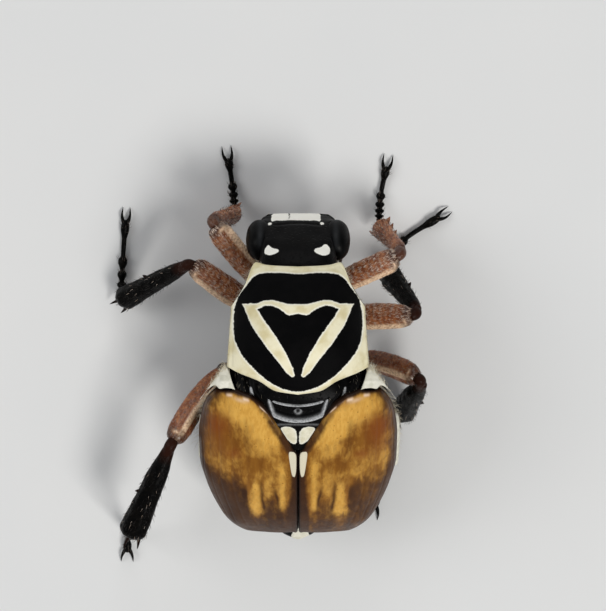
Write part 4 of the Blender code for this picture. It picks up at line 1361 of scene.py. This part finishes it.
def body_hairs(pronotum_grids, trunk_rings, head_rings, mesonotum_grid, plate_grids):
    """Pale hairs under the body, on the neck, along the edges of the plates and on the cheeks."""
    coat = Coat(7)
    outer, inner = pronotum_grids
    u = abs(np.linspace(-1, 1, outer.shape[0]))[:, None]
    centre = to_world(FORE, [(0, 1.5, -0.8)])[0]
    edge = hill(u, 0.985, 0.012)
    coat.grow(outer, centre, (0, 0.5, -0.8), 120, 0.07, 0.004, 0.5, edge, (0.02, 0.02, 0.3, 0.44))
    under = smooth(u, (0, 0.6), (0.6, 1), (0.95, 0.3))
    under = under * fade(np.linspace(0, 1, inner.shape[1]), 0.6, 0.8)
    coat.grow(inner, centre, (0, 0.6, -0.5), 2600, 0.30, 0.0038, 0.8, under, (0.34, 0.02, 0.3, 0.44))
    world = to_world(HIND, trunk_rings)
    x, a, h = np.moveaxis(trunk_rings, -1, 0)
    low = smooth(h, (-3.2, 1), (-2.2, 0.7), (-1.7, 0.0))
    front = smooth(a, (-0.6, 1), (2.0, 1), (2.6, 0.35), (5.2, 0.5))
    centre = to_world(HIND, [(0, 2.3, -1.6)])[0]
    cell = (0.02, 0.52, 0.46, 0.44)
    coat.grow(world, centre, (0, 0.8, -0.4), 8500, 0.26, 0.0038, 0.6, low * front, cell, True)
    neck = band(a, -0.5, -0.4, 0.0, 0.1) * step(h, -1.0, -0.8)
    neck = neck * (abs(x) > 0.7)
    cell = (0.52, 0.52, 0.22, 0.44)
    coat.grow(world, centre, (0, 0.9, 0.3), 50, 0.10, 0.004, 0.3, neck, cell, True, 0.4)
    grid = mesonotum_grid
    u = abs(np.linspace(-1, 1, grid.shape[0]))[:, None]
    v = np.linspace(0, 1, grid.shape[1])[None]
    sides = step(u, 0.75, 0.9) * smooth(v, (0.05, 1), (0.40, 0.6), (0.45, 0))
    coat.grow(grid, centre, (0, 0.9, 0.3), 60, 0.09, 0.004, 0.3, sides, (0.76, 0.52, 0.22, 0.2), tone=0.4)
    for index, grid in enumerate(plate_grids):
        fringe = fade(np.linspace(0, 1, grid.shape[1]), 0, 0.3)[None]
        along = np.linspace(0, 1, grid.shape[0])[:, None]
        fringe = fringe * smooth(along, (0.1, 0), (0.3, 1), (0.6, 0.6), (0.9, 0))
        way = (0.6 - 1.2 * index, -0.8, 0.1)
        coat.grow(grid, centre, way, 60, 0.17, 0.005, 0.4, fringe, (0.76 + 0.11 * index, 0.74, 0.1, 0.2))
    below = smooth(np.sin(around(head_rings.shape[1])), (-1, 1), (-0.2, 1), (0.1, 0))[None]
    centre = to_world(HEAD, [(0, -0.8, -0.5)])[0]
    cell = (0.68, 0.02, 0.3, 0.44)
    coat.grow(head_rings, centre, (0, -0.7, -0.6), 600, 0.16, 0.0045, 0.7, below, cell, True)
    coat.build("body_hairs", GOLD_HAIR, ["mesothorax", "metathorax", "abdomen"], "black_cuticle")


# Camera, floor and light

def camera():
    """The photograph's view: from above and in front, 15 degrees off the vertical."""
    tilt = math.radians(15)
    place = Vector((-0.59735, -30.8443, 110.385)) * MM
    distance, frame_width = 110.0, 14.15
    back = Vector((0, -math.sin(tilt), math.cos(tilt)))
    up = Vector((0, -math.cos(tilt), -math.sin(tilt)))
    right = up.cross(back)
    data = bpy.data.cameras.new("camera")
    data.sensor_fit = "HORIZONTAL"
    data.sensor_width = 36
    data.lens = data.sensor_width * distance / frame_width
    data.clip_start, data.clip_end = 0.001, 10
    made = add_object("camera", data)
    turn = Matrix((right, up, back)).transposed().to_4x4()
    made.matrix_world = Matrix.Translation(place) @ turn
    bpy.context.scene.camera = made


def floor():
    mesh = bpy.data.meshes.new("floor")
    size = 0.4
    corners = [(-size, -size, 0), (size, -size, 0), (size, size, 0), (-size, size, 0)]
    mesh.from_pydata(corners, [], [(0, 1, 2, 3)])
    shade = Shade("floor_paper")
    shade.surface(shade.blend(shade.noise(0.2, 2), (0.74, 0.75, 0.75), (0.79, 0.79, 0.78)), 0.8)
    mesh.materials.append(shade.material)
    add_object("floor", mesh)


def lamp(name, place, power, size, colour=(1, 1, 1)):
    """A square soft light that looks at the animal."""
    data = bpy.data.lights.new(name, "AREA")
    data.energy, data.size, data.color = power, size, colour
    made = add_object(name, data)
    made.location = place
    made.rotation_euler = (Vector((0, 0, 0.003)) - Vector(place)).to_track_quat("-Z", "Y").to_euler()


def lights():
    world = bpy.data.worlds.new("studio")
    world.use_nodes = True
    background = world.node_tree.nodes["Background"]
    background.inputs["Color"].default_value = (0.92, 0.95, 1.0, 1)
    background.inputs["Strength"].default_value = 0.26
    bpy.context.scene.world = world
    lamp("key", (-0.09, 0.10, 0.20), 0.34, 0.09, (1.0, 0.98, 0.95))
    lamp("fill", (0.16, -0.06, 0.14), 0.13, 0.12)
    lamp("front", (0.0, -0.20, 0.08), 0.08, 0.10)


camera()
floor()
lights()
for sign, side_word in ((1, "left"), (-1, "right")):
    elytron(sign, side_word)
    eye(sign, side_word)
    antenna(sign, side_word)
trunk_skin = trunk()
plate_skins = side_plates()
mesonotum_skin = mesonotum()
pronotum_skin = prothorax()
head_skin = head()
for number, (leg_name, places) in enumerate(LEGS.items()):
    leg(number, leg_name, *places)
body_hairs(pronotum_skin, trunk_skin, head_skin, mesonotum_skin, plate_skins)
bpy.context.scene.view_settings.view_transform = "Standard"
